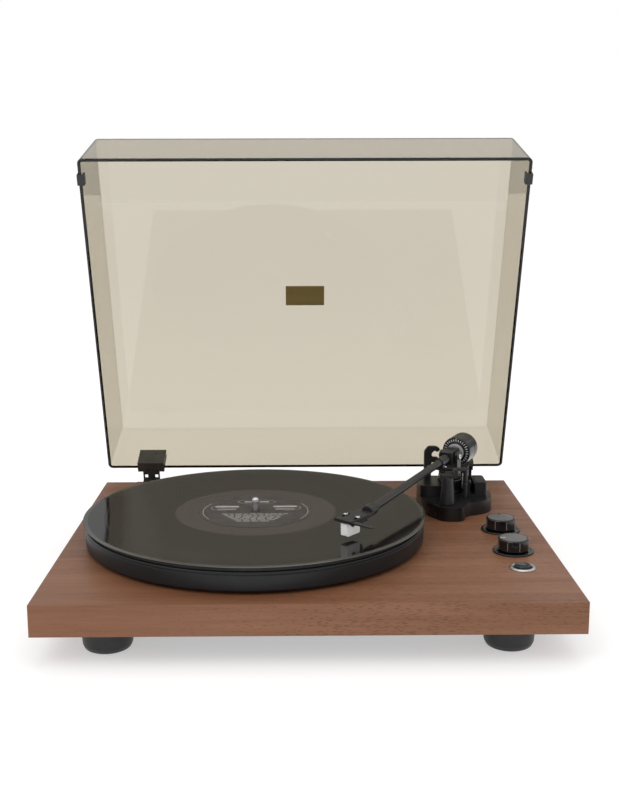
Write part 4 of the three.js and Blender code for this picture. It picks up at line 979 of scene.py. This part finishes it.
# ---------------- sockets in the back
SOCKETS = {"rca_jack_left": SOCKET_RED, "rca_jack_right": IVORY}
for name, insert in SOCKETS.items():
    spot = centre(name)
    here = at(spot.x, high(name).y, spot.z) @ ALONG_Y
    jack = [(0, -15), (4.4, -15), (4.4, -7.6), (4.4, -0.6), (3.9, 0), (3.5, 0), (3.5, -6.8), (0, -6.8)]
    finish_mesh(f"{name}_shell", lathe_mesh(jack, 48, 0.15), here, BRASS, "root", name, slot="brass")
    core = [(1.7, -6.9), (3.45, -6.9), (3.45, -0.5), (3.2, -0.25), (1.9, -0.25), (1.7, -0.5), (1.7, -6.9)]
    finish_mesh(f"{name}_insert", lathe_mesh(core, 48, 0.05), here, insert, "root", slot="ivory")

LEFT_ALONE = {
    "bottom_cover": SHEET, "bearing_housing": BRASS, "drive_belt": RUBBER, "motor": SHEET,
    "motor_pulley": BRASS, "control_board": BOARD, "phono_board": BOARD, "terminal_plate": SATIN_BLACK,
    "ground_post": STEEL, "dc_inlet": SATIN_BLACK, "speed_switch": SATIN_BLACK,
    "mode_switch": SATIN_BLACK}
for name, material in LEFT_ALONE.items():
    for material_slot in nodes[name].material_slots:
        material_slot.material = material

# ---------------- studio
world = bpy.data.worlds.new("studio")
bpy.context.scene.world = world
world.use_nodes = True
sky = world.node_tree
background = sky.nodes["Background"]
background.inputs["Color"].default_value = (1, 1, 1, 1)
# Surfaces are lit by, and seen against, plain white. Reflections see a darker room, brighter overhead.
REFLECTED_LEVEL, REFLECTED_TOP = 0.36, 1.0
BRIGHTER_FROM, BRIGHTER_TO = 0.23, 0.5
direction = sky.nodes.new("ShaderNodeTexCoord")
split_direction = sky.nodes.new("ShaderNodeSeparateXYZ")
sky.links.new(direction.outputs["Generated"], split_direction.inputs["Vector"])
room = sky.nodes.new("ShaderNodeMapRange")
for socket, value in (("From Min", BRIGHTER_FROM), ("From Max", BRIGHTER_TO),
                      ("To Min", REFLECTED_LEVEL), ("To Max", REFLECTED_TOP)):
    room.inputs[socket].default_value = value
sky.links.new(split_direction.outputs["Z"], room.inputs["Value"])
path = sky.nodes.new("ShaderNodeLightPath")
reflected = sky.nodes.new("ShaderNodeMath")
reflected.operation = "GREATER_THAN"
reflected.inputs[1].default_value = 0.5
sky.links.new(path.outputs["Glossy Depth"], reflected.inputs[0])
blend = sky.nodes.new("ShaderNodeMix")
blend.inputs["A"].default_value = 1.0
sky.links.new(reflected.outputs["Value"], blend.inputs["Factor"])
sky.links.new(room.outputs["Result"], blend.inputs["B"])
sky.links.new(blend.outputs["Result"], background.inputs["Strength"])

FLOOR_SIZE = 30
floor_mesh = bmesh.new()
bmesh.ops.create_grid(floor_mesh, x_segments=2, y_segments=2, size=FLOOR_SIZE)
floor_data = bpy.data.meshes.new("floor")
floor_mesh.to_mesh(floor_data)
floor_mesh.free()
floor = bpy.data.objects.new("floor", floor_data)
bpy.context.scene.collection.objects.link(floor)
floor_paint = Paint("floor_white", (0.6, 0.6, 0.6), Roughness=0.9, Specular_IOR_Level=0.0,
                    Emission_Color=(1, 1, 1, 1), Emission_Strength=0.43)
floor_data.materials.append(floor_paint.material)


def softbox(name, place, size, watts):
    """A square light that faces the player."""
    light = bpy.data.lights.new(name, "AREA")
    light.shape = "RECTANGLE"
    light.size = size
    light.size_y = size
    light.energy = watts
    lamp = bpy.data.objects.new(name, light)
    bpy.context.scene.collection.objects.link(lamp)
    lamp.location = place
    lamp.rotation_euler = (Vector((0, 0, 0.1)) - Vector(place)).to_track_quat("-Z", "Y").to_euler()


softbox("key", (-1.0, -1.3, 1.9), 1.2, 8)
softbox("top", (0.2, 0.1, 2.2), 1.5, 6)

CAMERA_PLACE = (-0.00694, -1.01027, 0.35347)
CAMERA_TURN_DEG = (0.531, 10.706, -0.158)
LENS = 50.29
camera_data = bpy.data.cameras.new("camera")
camera_data.sensor_width = 36
camera_data.lens = LENS
camera_data.clip_end = 100
camera = bpy.data.objects.new("camera", camera_data)
bpy.context.scene.collection.objects.link(camera)
bpy.context.scene.camera = camera
yaw, pitch, roll = (math.radians(a) for a in CAMERA_TURN_DEG)
forward = Vector((math.sin(yaw) * math.cos(pitch), math.cos(yaw) * math.cos(pitch), -math.sin(pitch)))
level = Vector((math.cos(yaw), -math.sin(yaw), 0))
upward = level.cross(forward)
right = level * math.cos(roll) + upward * math.sin(roll)
upward = upward * math.cos(roll) - level * math.sin(roll)
view_axes = Matrix((right, upward, -forward)).transposed().to_4x4()
camera.matrix_world = Matrix.Translation(CAMERA_PLACE) @ view_axes
bpy.context.scene.view_settings.view_transform = "Standard"

bpy.context.view_layer.update()
